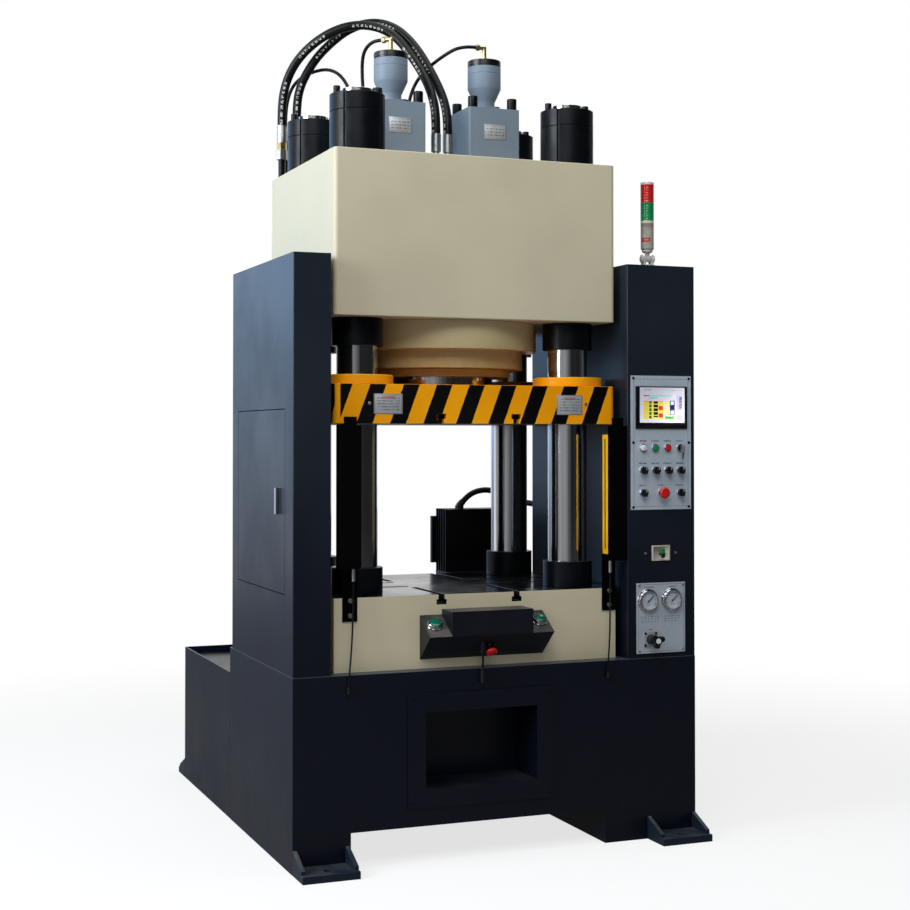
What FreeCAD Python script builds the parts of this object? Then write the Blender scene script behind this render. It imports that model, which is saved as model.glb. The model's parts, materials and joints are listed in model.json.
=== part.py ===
"""Four-column hydraulic press with side cabinets, a rear oil tank and a servo pump.

The frame: +Z up, X across the front, the front faces -Y. The origin is on the floor at the
centre of the four anchor holes. Lengths are millimetres.
"""
import FreeCAD, Part
import math
import os
import re
import Sketcher

Vector = FreeCAD.Vector
Rotation = FreeCAD.Rotation

SIZES = {
    # base frame, with its fork tunnel and the recess in its front
    "base_w": 1500, "base_d": 850, "base_h": 640, "base_wall": 20, "leg_left": 200,
    "leg_right": 362, "tunnel_h": 120, "recess_x": -82, "recess_w": 411, "recess_low": 245,
    "recess_h": 256, "recess_d": 180, "recess_rim": 64, "recess_sheet": 6, "foot_w": 195,
    "foot_out": 120, "foot_t": 25, "gusset_t": 15, "gusset_h": 80, "gusset_tip": 12,
    "gusset_in": 20,
    "anchor_r": 13, "anchor_out": 70,
    # bed and the slots for die clamps
    "bed_gap_left": 25, "bed_gap_right": 23, "bed_d": 800, "bed_h": 250, "slot_pitch": 280,
    "slot_side_pitch": 160, "slot_long": 275, "slot_side_long": 380, "slot_neck": 22,
    "slot_neck_d": 17, "slot_head": 36, "slot_head_h": 17,
    # columns, collars, nuts and crown
    "col_r": 71, "col_in": 125, "col_pitch_y": 528, "col_tip_r": 55, "col_tip_h": 20,
    "col_stub": 20,
    "collar_r": 89, "collar_low_h": 92, "collar_top_h": 96, "crown_gap": 946, "crown_h": 564,
    "crown_edge": 15, "nut_r": 96, "nut_h": 205, "nut_split": 62, "nut_low_h": 100, "thread_r": 58,
    "nut_groove": 3, "nut_slot_w": 8, "nut_slot_d": 6, "nut_screw_at": 74, "nut_screw_r": 12,
    "nut_screw_h": 28,
    # cylinder, ram and slide
    "flange_gap": 30, "flange_h": 101, "barrel_step": 50, "barrel_out": 65, "barrel_head": 60,
    "gland_step": 48, "gland_h": 27, "gland_wall": 62, "ram_long": 700, "ram_gap": 5, "daylight": 582,
    "slide_h": 135, "slide_edge": 20, "bush_r": 125, "bush_h": 33, "bush_sleeve": 17,
    # valves and hoses on the crown
    "valve_off": 185, "valve_w": 200, "valve_h": 237, "valve_edge": 6, "cup_foot_r": 62,
    "cup_foot_h": 13, "cup_neck_r": 34, "cup_neck_top": 63, "cup_r": 62, "cup_low": 118,
    "cup_top": 168, "cup_cap_h": 24, "valve_screw_in": 22, "valve_screw_r": 18,
    "valve_screw_h": 42, "screw_deep": 30, "elbow_r": 8, "elbow_h": 52, "elbow_out": 34,
    "elbow_nut_r": 12, "elbow_nut_h": 14, "hose_r": 17, "ferrule_r": 19, "ferrule_h": 66,
    "hex_r": 23, "hex_h": 38, "brass_hex_r": 20, "brass_hex_h": 28, "port_h": 79,
    "hose_in": 56, "hose_gap": 59, "outer_route_w": 461, "inner_route_w": 448,
    "outer_port_x": 8, "inner_port_x": 38,
    "clamp_rim": 30, "clamp_h": 50, "pipe_r": 13, "pipe_back": 55, "pipe_top": 2492,
    "pilot_r": 6.5, "pilot_nut_h": 22, "port_sunk": 10,
    # side cabinets, their doors and the door handles
    "cab_left_w": 130, "cab_right_w": 272, "cab_d": 820, "cab_left_h": 1395, "cab_right_h": 1402,
    "sheet": 3, "cab_edge": 4, "door_low": 265, "door_h": 614, "door_front": 99, "door_long": 629,
    "door_gap": 3, "door_lip": 18, "door_right_low": 160, "door_right_h": 1080, "hinge_in": 6,
    "hinge_r": 3, "hinge_long": 10, "lug": 16, "grip_from": 171, "grip_top": 616, "grip_h": 88,
    "grip_w": 22, "grip_t": 10, "grip_gap": 1, "grip_stem_r": 7, "grip_stem_in": 16,
    "grip_disc_r": 12, "grip_disc_h": 4,
    # control panel on the right cabinet
    "panel_shift": 2, "panel_w": 243, "panel_h": 478, "panel_low": 528, "panel_t": 3,
    "touch_w": 208, "touch_h": 152, "touch_up": 288, "touch_rim": 5, "touch_deep": 42,
    "touch_lip": 9, "button_pitch": 50, "row_up": 220, "row_pitch": 80, "button_hole": 11,
    "bezel_r": 14.5, "bezel_h": 7, "bezel_floor": 1, "switch_deep": 48, "stem_deep": 25,
    "stem_r": 7.5, "cap_r": 10.5, "cap_h": 6, "push_travel": 4, "spare": 0.5, "lamp_h": 9,
    "knob_r": 13.5, "knob_h": 12, "knob_grip_w": 7, "knob_grip_h": 12, "key_w": 2.5,
    "key_long": 28, "key_bow": 20, "stop_r": 20, "stop_h": 14, "stop_up": 20, "stop_foot": 4,
    "stop_round": 5, "iso_w": 73,
    "iso_h": 55, "iso_up": 372.5, "iso_lever_w": 13, "iso_lever_h": 32, "iso_lever_t": 6,
    "iso_lever_out": 10, "iso_plate": 6, "iso_body": 46, "iso_deep": 60, "iso_pin_r": 8,
    "iso_pin_in": 5, "iso_screw_at": 60.5, "pin_head_r": 4.5, "pin_head_h": 2.5,
    "pin_shank_r": 2.5, "panel_screw_in": 9, "panel_window": 24,
    # gauge panel
    "gauge_panel_w": 195, "gauge_panel_h": 250, "gauge_panel_low": 17, "gauge_pitch": 96,
    "gauge_up": 187, "gauge_flange_r": 42, "gauge_flange_h": 3, "gauge_r": 35, "gauge_out": 16,
    "gauge_bezel": 4, "gauge_dial": 8, "gauge_body_r": 30, "gauge_deep": 45, "pointer_long": 24,
    "pointer_w": 2.5, "pointer_t": 1.5, "pointer_tail": 8, "pointer_lean": 45, "spindle_r": 2,
    "gauge_shift": 5, "dial_up": 3,
    "plate_shift": 2, "valve_flange_w": 54, "valve_flange_h": 4, "valve_x": 44, "valve_up": 50,
    "valve_screw_at": 21, "handle_gap": 3, "hand_valve_r": 18, "hand_valve_out": 42,
    "handle_r": 15, "handle_h": 18, "lobe_r": 10, "lobe_at": 17, "handle_stem_r": 5,
    # signal tower on the right cabinet
    "tower_back": 102, "tower_foot_r": 26, "tower_foot_h": 12, "tower_knuckle_w": 22,
    "tower_fork": 8, "tower_pivot": 22, "tower_round": 12, "tower_disc": 10, "tower_r": 24.5,
    "tower_body_h": 104, "tower_lens_h": 66, "tower_red_h": 66, "tower_cap_h": 10,
    "tower_pin_r": 4,
    # oil tank, its cover, motor and pump
    "tank_d": 788, "tank_h": 546, "tank_wall": 6, "tank_sunk": 28, "tank_cover": 8, "motor_in": 372,
    "motor_w": 300, "motor_long": 110, "motor_h": 258, "pump_in": 118, "motor_low": 870,
    "fin_t": 6, "fin_deep": 14, "fin_pitch": 26, "ledge": 20, "motor_flange": 20,
    "motor_flange_out": 18, "motor_flange_in": 32, "stand_w": 300, "stand_long": 170,
    "stand_leg": 40, "stand_plate": 20,
    "stand_front": 20, "suction_r": 24, "bell_r": 95, "bell_long": 150, "pump_w": 120,
    "pump_long": 140, "pump_h": 150, "conduit_r": 12, "conduit_gland_r": 18,
    "conduit_gland_h": 14, "conduit_wall": 2, "gland_reach": 22, "conduit_x": 83,
    "conduit_end_in": 150, "conduit_end_z": 510, "conduit_in": 50, "conduit_route_d": 300,
    # light curtain posts on the bed
    "bar_x": 13, "bar_in": 67, "bar_w": 40, "bar_deep": 42, "bar_low": 123, "bar_long": 422,
    "bar_plate": 5, "guard_t": 3, "guard_w": 74, "guard_tab_in": 16, "guard_tab_w": 45,
    "bracket_in": 25, "bracket_w": 52, "bracket_drop": 79,
    "guard_low": 100, "guard_top": 605, "flange_top": 577, "plug_r": 7, "plug_h": 66, "bolt_r": 8,
    "bolt_h": 7, "bolt_up": 20, "bolt_pitch": 50, "cable_r": 3, "cable_gland_r": 7,
    "cable_gland_h": 22, "cable_gland_out": 9, "cable_gland_drop": 60, "cable_gland_in": 25,
    "box_cable_r": 4,
    "box_gland_r": 9, "box_gland_long": 48, "box_gland_out": 12, "box_gland_drop": 48,
    # two-hand control box on the bed front
    "box_x": 9, "box_w": 458, "box_low": 32, "box_high": 182, "box_front": 118, "box_out": 102,
    "cover_w": 297, "cover_top": 200, "palm_at": 194, "palm_bezel_r": 29, "palm_bezel_h": 14,
    "palm_r": 20, "palm_h": 4, "palm_floor": 4, "palm_body_r": 22, "palm_hole": 15,
    "palm_stem_r": 10, "palm_deep": 30, "palm_stem_deep": 20, "box_boss_r": 9, "box_boss_low": 52,
    "box_boss_out": 62, "box_boss_x": 23, "stop_x": 8, "fit": 0.2, "run": 0.3, "past": 1,
}

# sizes that follow from others: the bed fills the room between the cabinets, the columns stand
# in its corners, the cylinder fits between the columns, and the pump stays off the tank's rear
FOLLOWS = {
    "bed_w": "base_w - cab_left_w - cab_right_w - bed_gap_left - bed_gap_right",
    "press_x": "cab_left_w + bed_gap_left + bed_w / 2 - base_w / 2",
    "col_pitch_x": "bed_w - 2 * col_in",
    "flange_r": "sqrt(col_pitch_x ^ 2 + col_pitch_y ^ 2) / 2 - collar_r - flange_gap",
    "barrel_r": "flange_r - barrel_step",
    "gland_r": "barrel_r - gland_step",
    "ram_r": "gland_r - gland_wall",
    "hose_outer_x": "bed_w / 2 - hose_in",
    "hose_inner_x": "hose_outer_x - hose_gap",
    "bar_at": "bed_w / 2 - bar_in",
    "motor_x": "base_w / 2 - motor_in",
    "motor_back": "tank_d - pump_in - pump_long - bell_long - motor_flange - motor_long",
    "conduit_y": "motor_back + conduit_in",
    "conduit_end_x": "base_w / 2 - conduit_end_in",
}
NAMES = sorted([*SIZES, *FOLLOWS], key=len, reverse=True)
ALIAS = re.compile(r"\b(" + "|".join(NAMES) + r")\b")

doc = FreeCAD.newDocument("HydraulicPress")
sheet = doc.addObject("Spreadsheet::Sheet", "Sizes")
for row, (alias, size) in enumerate((SIZES | FOLLOWS).items(), 1):
    sheet.set(f"A{row}", alias.replace("_", " "))
    sheet.set(f"B{row}", f"={size}")
    sheet.setAlias(f"B{row}", alias)
doc.recompute()

nodes = {}


def bound(text):
    """The expression with each size's name pointing at its cell."""
    return ALIAS.sub(r"Sizes.\1", str(text))


def size_of(text):
    """The number that an expression comes to."""
    return float(sheet.evalExpression(bound(text)))


def bind(thing, **properties):
    for name, text in properties.items():
        thing.setExpression(name, bound(text))


# which way a turned piece's own Z points
TURN = {
    "+z": Rotation(),
    "-y": Rotation(Vector(1, 0, 0), 90),
    "+y": Rotation(Vector(1, 0, 0), -90),
    "+x": Rotation(Vector(0, 1, 0), 90),
    "-x": Rotation(Vector(0, 1, 0), -90),
    "slant": Rotation(Vector(0, 0, 1), Vector(-1, 1, 0)),
    "lean": Rotation(Vector(0, 0, 1), Vector(1, 0, 1)),
}


def place(thing, at, rotation=None):
    thing.Placement = FreeCAD.Placement(Vector(), rotation or Rotation())
    for axis, text in zip("xyz", at):
        thing.setExpression(f"Placement.Base.{axis}", bound(text))
    return thing


def part(kind, name, at, rotation=None, **properties):
    thing = doc.addObject("Part::" + kind, name)
    bind(thing, **properties)
    return place(thing, at, rotation)


def block(name, at, wide, deep, tall, rotation=None):
    """A box whose lowest corner is at the given place."""
    return part("Box", name, at, rotation, Length=wide, Width=deep, Height=tall)


def rod(name, at, radius, length, turn="+z"):
    return part("Cylinder", name, at, TURN[turn], Radius=radius, Height=length)


def hexagon(name, at, radius, length, turn="+z"):
    thing = part("Prism", name, at, TURN[turn], Circumradius=radius, Height=length)
    thing.Polygon = 6
    return thing


def ball(name, at, radius):
    return part("Sphere", name, at, Radius=radius)


def fuse(name, *pieces):
    thing = doc.addObject("Part::MultiFuse", name)
    thing.Shapes = list(pieces)
    return thing


def cut(name, base, *tools):
    thing = doc.addObject("Part::Cut", name)
    thing.Base = base
    thing.Tool = tools[0] if len(tools) == 1 else fuse(name + "Tools", *tools)
    return thing


def several(name, *pieces):
    thing = doc.addObject("Part::Compound", name)
    thing.Links = list(pieces)
    return thing


def node(label, thing):
    thing.Label = label
    nodes[label] = thing
    return thing


def plane(body, role):
    return next(item for item in body.Origin.OriginFeatures if item.Role == role)


def outline(body, role, points):
    """A closed sketch whose corners are bound to the sheet."""
    sketch = body.newObject("Sketcher::SketchObject", body.Name + "Sketch")
    sketch.AttachmentSupport = (plane(body, role), [""])
    sketch.MapMode = "FlatFace"
    corners = [Vector(size_of(a), size_of(b), 0) for a, b in points]
    count = len(corners)
    for i in range(count):
        sketch.addGeometry(Part.LineSegment(corners[i], corners[(i + 1) % count]), False)
    for i in range(count):
        sketch.addConstraint(Sketcher.Constraint("Coincident", i, 2, (i + 1) % count, 1))
    for i, (across, up) in enumerate(points):
        for kind, text in (("DistanceX", across), ("DistanceY", up)):
            number = sketch.addConstraint(Sketcher.Constraint(kind, i, 1, size_of(text)))
            sketch.setExpression(f"Constraints[{number}]", bound(text))
    return sketch


def padded(name, role, points, length, at=("0", "0", "0"), edge=None, along=None):
    """An outline drawn in one plane and padded, with its edges along one axis rounded."""
    body = doc.addObject("PartDesign::Body", name)
    sketch = outline(body, role, points)
    pad = body.newObject("PartDesign::Pad", name + "Pad")
    pad.Profile = sketch
    bind(pad, Length=length)
    if edge:
        doc.recompute()
        fillet = body.newObject("PartDesign::Fillet", name + "Fillet")
        chosen = [f"Edge{i}" for i, line in enumerate(pad.Shape.Edges, 1)
                  if along(line)]
        fillet.Base = (pad, chosen)
        bind(fillet, Radius=edge)
    return place(body, at)


def turned(name, points, at, turn="+z"):
    """A profile of (radius, height) corners revolved about its own Z."""
    body = doc.addObject("PartDesign::Body", name)
    sketch = outline(body, "XZ_Plane", points)
    revolution = body.newObject("PartDesign::Revolution", name + "Turn")
    revolution.Profile = sketch
    revolution.ReferenceAxis = (sketch, ["V_Axis"])
    revolution.Angle = 360
    rotation = turn if isinstance(turn, Rotation) else TURN[turn]
    return place(body, at, rotation)


def rectangle(wide, tall, left="0", low="0"):
    return [(left, low), (f"{left} + {wide}", low), (f"{left} + {wide}", f"{low} + {tall}"),
            (left, f"{low} + {tall}")]


def upright(line):
    span = line.BoundBox
    return span.ZLength > 1 and span.XLength + span.YLength < 0.01


def ring(name, at, outer, inner, length, turn="+z"):
    """A plain ring as a turned piece."""
    profile = [(inner, "0"), (outer, "0"), (outer, length), (inner, length)]
    return turned(name, profile, at, turn)


# ---------------------------------------------------------------- shared places
FRONT = "(-base_d / 2 - tank_d / 2)"
BACK = "(base_d / 2 - tank_d / 2)"
PRESS_Y = "(base_d / 2 - tank_d / 2 - bed_d / 2)"
BED_FRONT = "(base_d / 2 - tank_d / 2 - bed_d)"
BED_LEFT = "(press_x - bed_w / 2)"
SLANT = math.sqrt(0.5)
BED_TOP = "(base_h + bed_h)"
CROWN_LOW = "(base_h + bed_h + crown_gap)"
CROWN_TOP = "(base_h + bed_h + crown_gap + crown_h)"
SLIDE_LOW = "(base_h + bed_h + daylight)"
SLIDE_TOP = "(base_h + bed_h + daylight + slide_h)"
COLUMNS = [(f"(press_x + {i} * col_pitch_x / 2)", f"({PRESS_Y} + {j} * col_pitch_y / 2)")
           for i in (-1, 1) for j in (-1, 1)]
PANEL_X = "(base_w / 2 - cab_right_w / 2 - panel_shift)"
TANK_BACK = "(base_d / 2 + tank_d / 2)"

# ---------------------------------------------------------------- base frame
LEG_L = "(leg_left - base_w / 2)"
LEG_R = "(base_w / 2 - leg_right)"


def base_outline(wall):
    """The base seen from the front: two legs and the tunnel, drawn in by a wall."""
    out = f"(base_w / 2 - {wall})"
    return [(f"-{out}", wall), (f"{LEG_L} - {wall}", wall),
            (f"{LEG_L} - {wall}", f"tunnel_h + {wall}"), (f"{LEG_R} + {wall}", f"tunnel_h + {wall}"),
            (f"{LEG_R} + {wall}", wall), (out, wall), (out, f"base_h - {wall}"),
            (f"-{out}", f"base_h - {wall}")]


base_body = padded("BaseBody", "XZ_Plane", base_outline("0"), "base_d", ("0", BACK, "0"))
base_hollow = padded("BaseHollow", "XZ_Plane", base_outline("base_wall"),
                     "base_d - 2 * base_wall", ("0", f"{BACK} - base_wall", "0"))
recess_mouth = block("RecessMouth", ("recess_x - recess_w / 2 - recess_sheet - fit", f"{FRONT} - past",
                     "recess_low - recess_sheet - fit"), "recess_w + 2 * recess_sheet + 2 * fit",
                     "base_wall + 2 * past", "recess_h + 2 * recess_sheet + 2 * fit")
base_holes = [rod(f"BaseHole{i}", (x, y, "base_h - base_wall - past"), "col_r + fit",
                  "base_wall + 2 * past") for i, (x, y) in enumerate(COLUMNS)]
node("base_frame", cut("BaseFrame", base_body, base_hollow, recess_mouth, *base_holes))


def foot(name, left, face, outward):
    """A foot plate with two gussets against a vertical face; outward is -1 or 1 along Y."""
    low = f"{face} - foot_out" if outward < 0 else face
    plate = block(name + "Plate", (left, low, "0"), "foot_w", "foot_out", "foot_t")
    hole = rod(name + "Hole", (f"{left} + foot_w / 2", f"{face} + {outward} * anchor_out", "-past"),
               "anchor_r", "foot_t + 2 * past")
    tip = f"{outward} * (foot_out - gusset_in)"
    gussets = []
    for i, start in enumerate((left, f"{left} + foot_w - gusset_t")):
        points = [("0", "foot_t"), (tip, "foot_t"), (tip, "foot_t + gusset_tip"), ("0", "gusset_h")]
        gussets.append(padded(f"{name}Gusset{i}", "YZ_Plane", points, "gusset_t",
                              (start, face, "0")))
    return cut(name, fuse(name + "Body", plate, *gussets), hole)


feet = []
for corner, left in (("Left", "-base_w / 2"), ("Right", "base_w / 2 - foot_w")):
    feet.append(foot("Foot" + corner + "Front", left, FRONT, -1))
    feet.append(foot("Foot" + corner + "Rear", left, TANK_BACK, 1))
node("foot_brackets", several("FootBrackets", *feet))

# the folded tray let into the front of the base
recess_left = "recess_x - recess_w / 2"
rim_plate = block("RimPlate", (f"{recess_left} - recess_rim", f"{FRONT} - recess_sheet",
                  "recess_low - recess_rim"), "recess_w + 2 * recess_rim", "recess_sheet",
                  "recess_h + 2 * recess_rim")
tray_out = block("TrayOut", (f"{recess_left} - recess_sheet", f"{FRONT} - 0.5 * recess_sheet",
                 "recess_low - recess_sheet"), "recess_w + 2 * recess_sheet",
                 "recess_d + 1.5 * recess_sheet", "recess_h + 2 * recess_sheet")
tray_in = block("TrayIn", (recess_left, f"{FRONT} - recess_sheet - past", "recess_low"), "recess_w",
                "recess_d + recess_sheet + past", "recess_h")
node("recess_tray", cut("RecessTray", fuse("TrayBody", rim_plate, tray_out), tray_in))


# ---------------------------------------------------------------- bed
def slots(name, left, front, face, up):
    """Clamp slots cut into a face from the front and the back, and from both sides if asked."""
    tools = []
    neck = f"{face} - slot_neck_d" if up else face
    head = f"{face} - slot_neck_d - slot_head_h" if up else f"{face} + slot_neck_d"
    for i in (-1, 1):
        for end, start in (("Front", front), ("Back", f"{front} + bed_d - slot_long")):
            across = f"(press_x + {i} * slot_pitch / 2)"
            for shape, wide, low, tall in (("Neck", "slot_neck", neck, "slot_neck_d"),
                                           ("Head", "slot_head", head, "slot_head_h")):
                tools.append(block(f"{name}{end}{shape}{i + 1}", (f"{across} - {wide} / 2", start, low),
                                   wide, "slot_long", tall))
        if up:
            along = f"({PRESS_Y} + {i} * slot_side_pitch / 2)"
            for side, start in (("Left", left), ("Right", f"{left} + bed_w - slot_side_long")):
                for shape, wide, low, tall in (("Neck", "slot_neck", neck, "slot_neck_d"),
                                               ("Head", "slot_head", head, "slot_head_h")):
                    tools.append(block(f"{name}{side}{shape}{i + 1}",
                                       (start, f"{along} - {wide} / 2", low),
                                       "slot_side_long", wide, tall))
    return tools


bed_block = block("BedBlock", (BED_LEFT, BED_FRONT, "base_h"), "bed_w", "bed_d", "bed_h")
bed_holes = [rod(f"BedHole{i}", (x, y, "base_h - past"), "col_r + fit", "bed_h + 2 * past")
             for i, (x, y) in enumerate(COLUMNS)]
node("bed", cut("Bed", bed_block, *slots("Bed", BED_LEFT, BED_FRONT, BED_TOP, True), *bed_holes))

# ---------------------------------------------------------------- columns, collars, nuts
COLUMN_LOW = "(base_h - base_wall - nut_low_h - col_stub)"
NUT_TOP = f"({CROWN_TOP} + nut_h)"
columns, collars, nuts, screws = [], [], [], []
for i, (x, y) in enumerate(COLUMNS):
    shaft = [("0", COLUMN_LOW), ("col_r", COLUMN_LOW), ("col_r", CROWN_TOP),
             ("thread_r", CROWN_TOP), ("thread_r", NUT_TOP), ("col_tip_r", NUT_TOP),
             ("col_tip_r", f"{NUT_TOP} + col_tip_h"), ("0", f"{NUT_TOP} + col_tip_h")]
    columns.append(turned(f"Column{i}", shaft, (x, y, "0")))
    collars.append(ring(f"CollarLow{i}", (x, y, BED_TOP), "collar_r", "col_r + fit",
                        "collar_low_h"))
    collars.append(ring(f"CollarTop{i}", (x, y, f"{CROWN_LOW} - collar_top_h"), "collar_r",
                        "col_r + fit", "collar_top_h"))
    split = "(nut_h - nut_split)"
    profile = [("thread_r + fit", "0"), ("nut_r", "0"), ("nut_r", split),
               ("nut_r - nut_groove", split), ("nut_r - nut_groove", f"{split} + nut_groove"),
               ("nut_r", f"{split} + nut_groove"), ("nut_r", "nut_h"), ("thread_r + fit", "nut_h")]
    nut = turned(f"NutTurned{i}", profile, (x, y, CROWN_TOP))
    tools = []
    for quarter in range(4):
        slot = block(f"NutSlot{i}{quarter}", ("0", "0", "0"), "nut_slot_d + past", "nut_slot_w",
                     "nut_h + 2 * past")
        turn = Rotation(Vector(0, 0, 1), 45 + 90 * quarter)
        reach = size_of("nut_r - nut_slot_d")
        offset = turn.multVec(Vector(reach, -size_of("nut_slot_w") / 2, 0))
        place(slot, (f"{x} + {offset.x}", f"{y} + {offset.y}", f"{CROWN_TOP} - past"), turn)
        tools.append(slot)
    for side in (-1, 1):
        spot = (f"{x} + {side} * nut_screw_at", y, f"{NUT_TOP} - screw_deep")
        tools.append(rod(f"NutTap{i}{side + 1}", spot, "nut_screw_r / 2 + fit",
                         "screw_deep + past"))
        stem = rod(f"NutStem{i}{side + 1}", spot, "nut_screw_r / 2", "screw_deep")
        head = rod(f"NutHead{i}{side + 1}", (spot[0], y, NUT_TOP), "nut_screw_r", "nut_screw_h")
        screws.append(fuse(f"NutScrew{i}{side + 1}", stem, head))
    nuts.append(cut(f"NutTop{i}", nut, *tools))
    nuts.append(ring(f"NutLow{i}", (x, y, "base_h - base_wall - nut_low_h"), "nut_r",
                     "col_r + fit", "nut_low_h"))
node("columns", several("Columns", *columns))
node("column_collars", several("ColumnCollars", *collars))
node("column_nuts", several("ColumnNuts", *nuts))

# ---------------------------------------------------------------- crown and cylinder
crown_body = padded("CrownBody", "XY_Plane", rectangle("bed_w", "bed_d"), "crown_h",
                    (BED_LEFT, BED_FRONT, CROWN_LOW), edge="crown_edge", along=upright)
crown_holes = [rod(f"CrownHole{i}", (x, y, f"{CROWN_LOW} - past"), "col_r + fit", "crown_h + 2 * past")
               for i, (x, y) in enumerate(COLUMNS)]
crown_bore = rod("CrownBore", ("press_x", PRESS_Y, f"{CROWN_LOW} - past"), "barrel_r + fit",
                 "crown_h + 2 * past")
node("crown", cut("Crown", crown_body, crown_bore, *crown_holes))

barrel_low = "(-flange_h - barrel_out)"
barrel_profile = [("ram_r + ram_gap", barrel_low), ("barrel_r", barrel_low),
                  ("barrel_r", "-flange_h"), ("flange_r", "-flange_h"), ("flange_r", "0"),
                  ("barrel_r", "0"), ("barrel_r", "crown_h"), ("0", "crown_h"),
                  ("0", "crown_h - barrel_head"), ("ram_r + ram_gap", "crown_h - barrel_head")]
barrel = turned("Barrel", barrel_profile, ("press_x", PRESS_Y, CROWN_LOW))
gland = ring("CylinderGland", ("press_x", PRESS_Y, f"{CROWN_LOW} - flange_h - barrel_out - gland_h"),
             "gland_r", "ram_r + run", "gland_h")
node("cylinder", several("Cylinder", barrel, gland))
node("ram", rod("Ram", ("press_x", PRESS_Y, SLIDE_TOP), "ram_r", "ram_long"))

# ---------------------------------------------------------------- slide
slide_body = padded("SlideBody", "XY_Plane", rectangle("bed_w", "bed_d"), "slide_h",
                    (BED_LEFT, BED_FRONT, SLIDE_LOW), edge="slide_edge", along=upright)
slide_holes = [rod(f"SlideHole{i}", (x, y, f"{SLIDE_LOW} - past"), "col_r + bush_sleeve + fit",
                   "slide_h + 2 * past") for i, (x, y) in enumerate(COLUMNS)]
node("slide", cut("Slide", slide_body, *slots("Slide", BED_LEFT, BED_FRONT, SLIDE_LOW, False),
                  *slide_holes))
bush_profile = [("col_r + run", "0"), ("col_r + bush_sleeve", "0"),
                ("col_r + bush_sleeve", "slide_h"), ("bush_r", "slide_h"),
                ("bush_r", "slide_h + bush_h"), ("col_r + run", "slide_h + bush_h")]
node("guide_bushes", several("GuideBushes", *[
    turned(f"Bush{i}", bush_profile, (x, y, SLIDE_LOW)) for i, (x, y) in enumerate(COLUMNS)]))

# ---------------------------------------------------------------- valves on the crown
VALVE_TOP = f"({CROWN_TOP} + valve_h)"
CUP_TOP = f"({CROWN_TOP} + valve_h + cup_top + cup_cap_h)"
ELBOW_Z = f"({CROWN_TOP} + valve_h + cup_top + cup_cap_h + elbow_h)"
blocks, cups, elbows = [], [], []
for i in (-1, 1):
    x = f"(press_x + {i} * valve_off)"
    body = padded(f"ValveBody{i + 1}", "XY_Plane", rectangle("valve_w", "valve_w"), "valve_h",
                  (f"{x} - valve_w / 2", f"{PRESS_Y} - valve_w / 2", CROWN_TOP),
                  edge="valve_edge", along=upright)
    taps = []
    for j in (-1, 1):
        for k in (-1, 1):
            reach = "(valve_w / 2 - valve_screw_in)"
            spot = (f"{x} + {j} * {reach}", f"{PRESS_Y} + {k} * {reach}",
                    f"{VALVE_TOP} - screw_deep")
            tag = f"{i + 1}{j + 1}{k + 1}"
            taps.append(rod("ValveTap" + tag, spot, "valve_screw_r / 2 + fit",
                            "screw_deep + past"))
            stem = rod("ValveStem" + tag, spot, "valve_screw_r / 2", "screw_deep")
            head = rod("ValveHead" + tag, (spot[0], spot[1], VALVE_TOP), "valve_screw_r",
                       "valve_screw_h")
            screws.append(fuse("ValveScrew" + tag, stem, head))
    blocks.append(cut(f"ValveBlock{i + 1}", body, *taps))
    cup = [("0", "0"), ("cup_foot_r", "0"), ("cup_foot_r", "cup_foot_h"),
           ("cup_neck_r", "cup_foot_h"), ("cup_neck_r", "cup_neck_top"), ("cup_r", "cup_low"),
           ("cup_r", "cup_top"), ("0", "cup_top")]
    cups.append(turned(f"Cup{i + 1}", cup, (x, PRESS_Y, VALVE_TOP)))
    cups.append(rod(f"CupCap{i + 1}", (x, PRESS_Y, f"{VALVE_TOP} + cup_top"), "cup_r", "cup_cap_h"))
    lean, sway, turn = (SLANT, SLANT, "slant") if i < 0 else (1, 0, "-x")
    elbows.append(fuse(
        f"Elbow{i + 1}",
        hexagon(f"ElbowNut{i + 1}", (x, PRESS_Y, CUP_TOP), "elbow_nut_r", "elbow_nut_h"),
        rod(f"ElbowUp{i + 1}", (x, PRESS_Y, CUP_TOP), "elbow_r", "elbow_h"),
        ball(f"ElbowBend{i + 1}", (x, PRESS_Y, ELBOW_Z), "elbow_r"),
        rod(f"ElbowOut{i + 1}", (x, PRESS_Y, ELBOW_Z), "elbow_r", "elbow_out", turn),
        hexagon(f"ElbowEnd{i + 1}", (f"{x} - {lean} * (elbow_out - elbow_nut_h)",
                f"{PRESS_Y} + {sway} * (elbow_out - elbow_nut_h)", ELBOW_Z),
                "elbow_nut_r", "elbow_nut_h", turn)))
node("valve_blocks", several("ValveBlocks", *blocks))
node("valve_cups", several("ValveCups", *cups))


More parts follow.
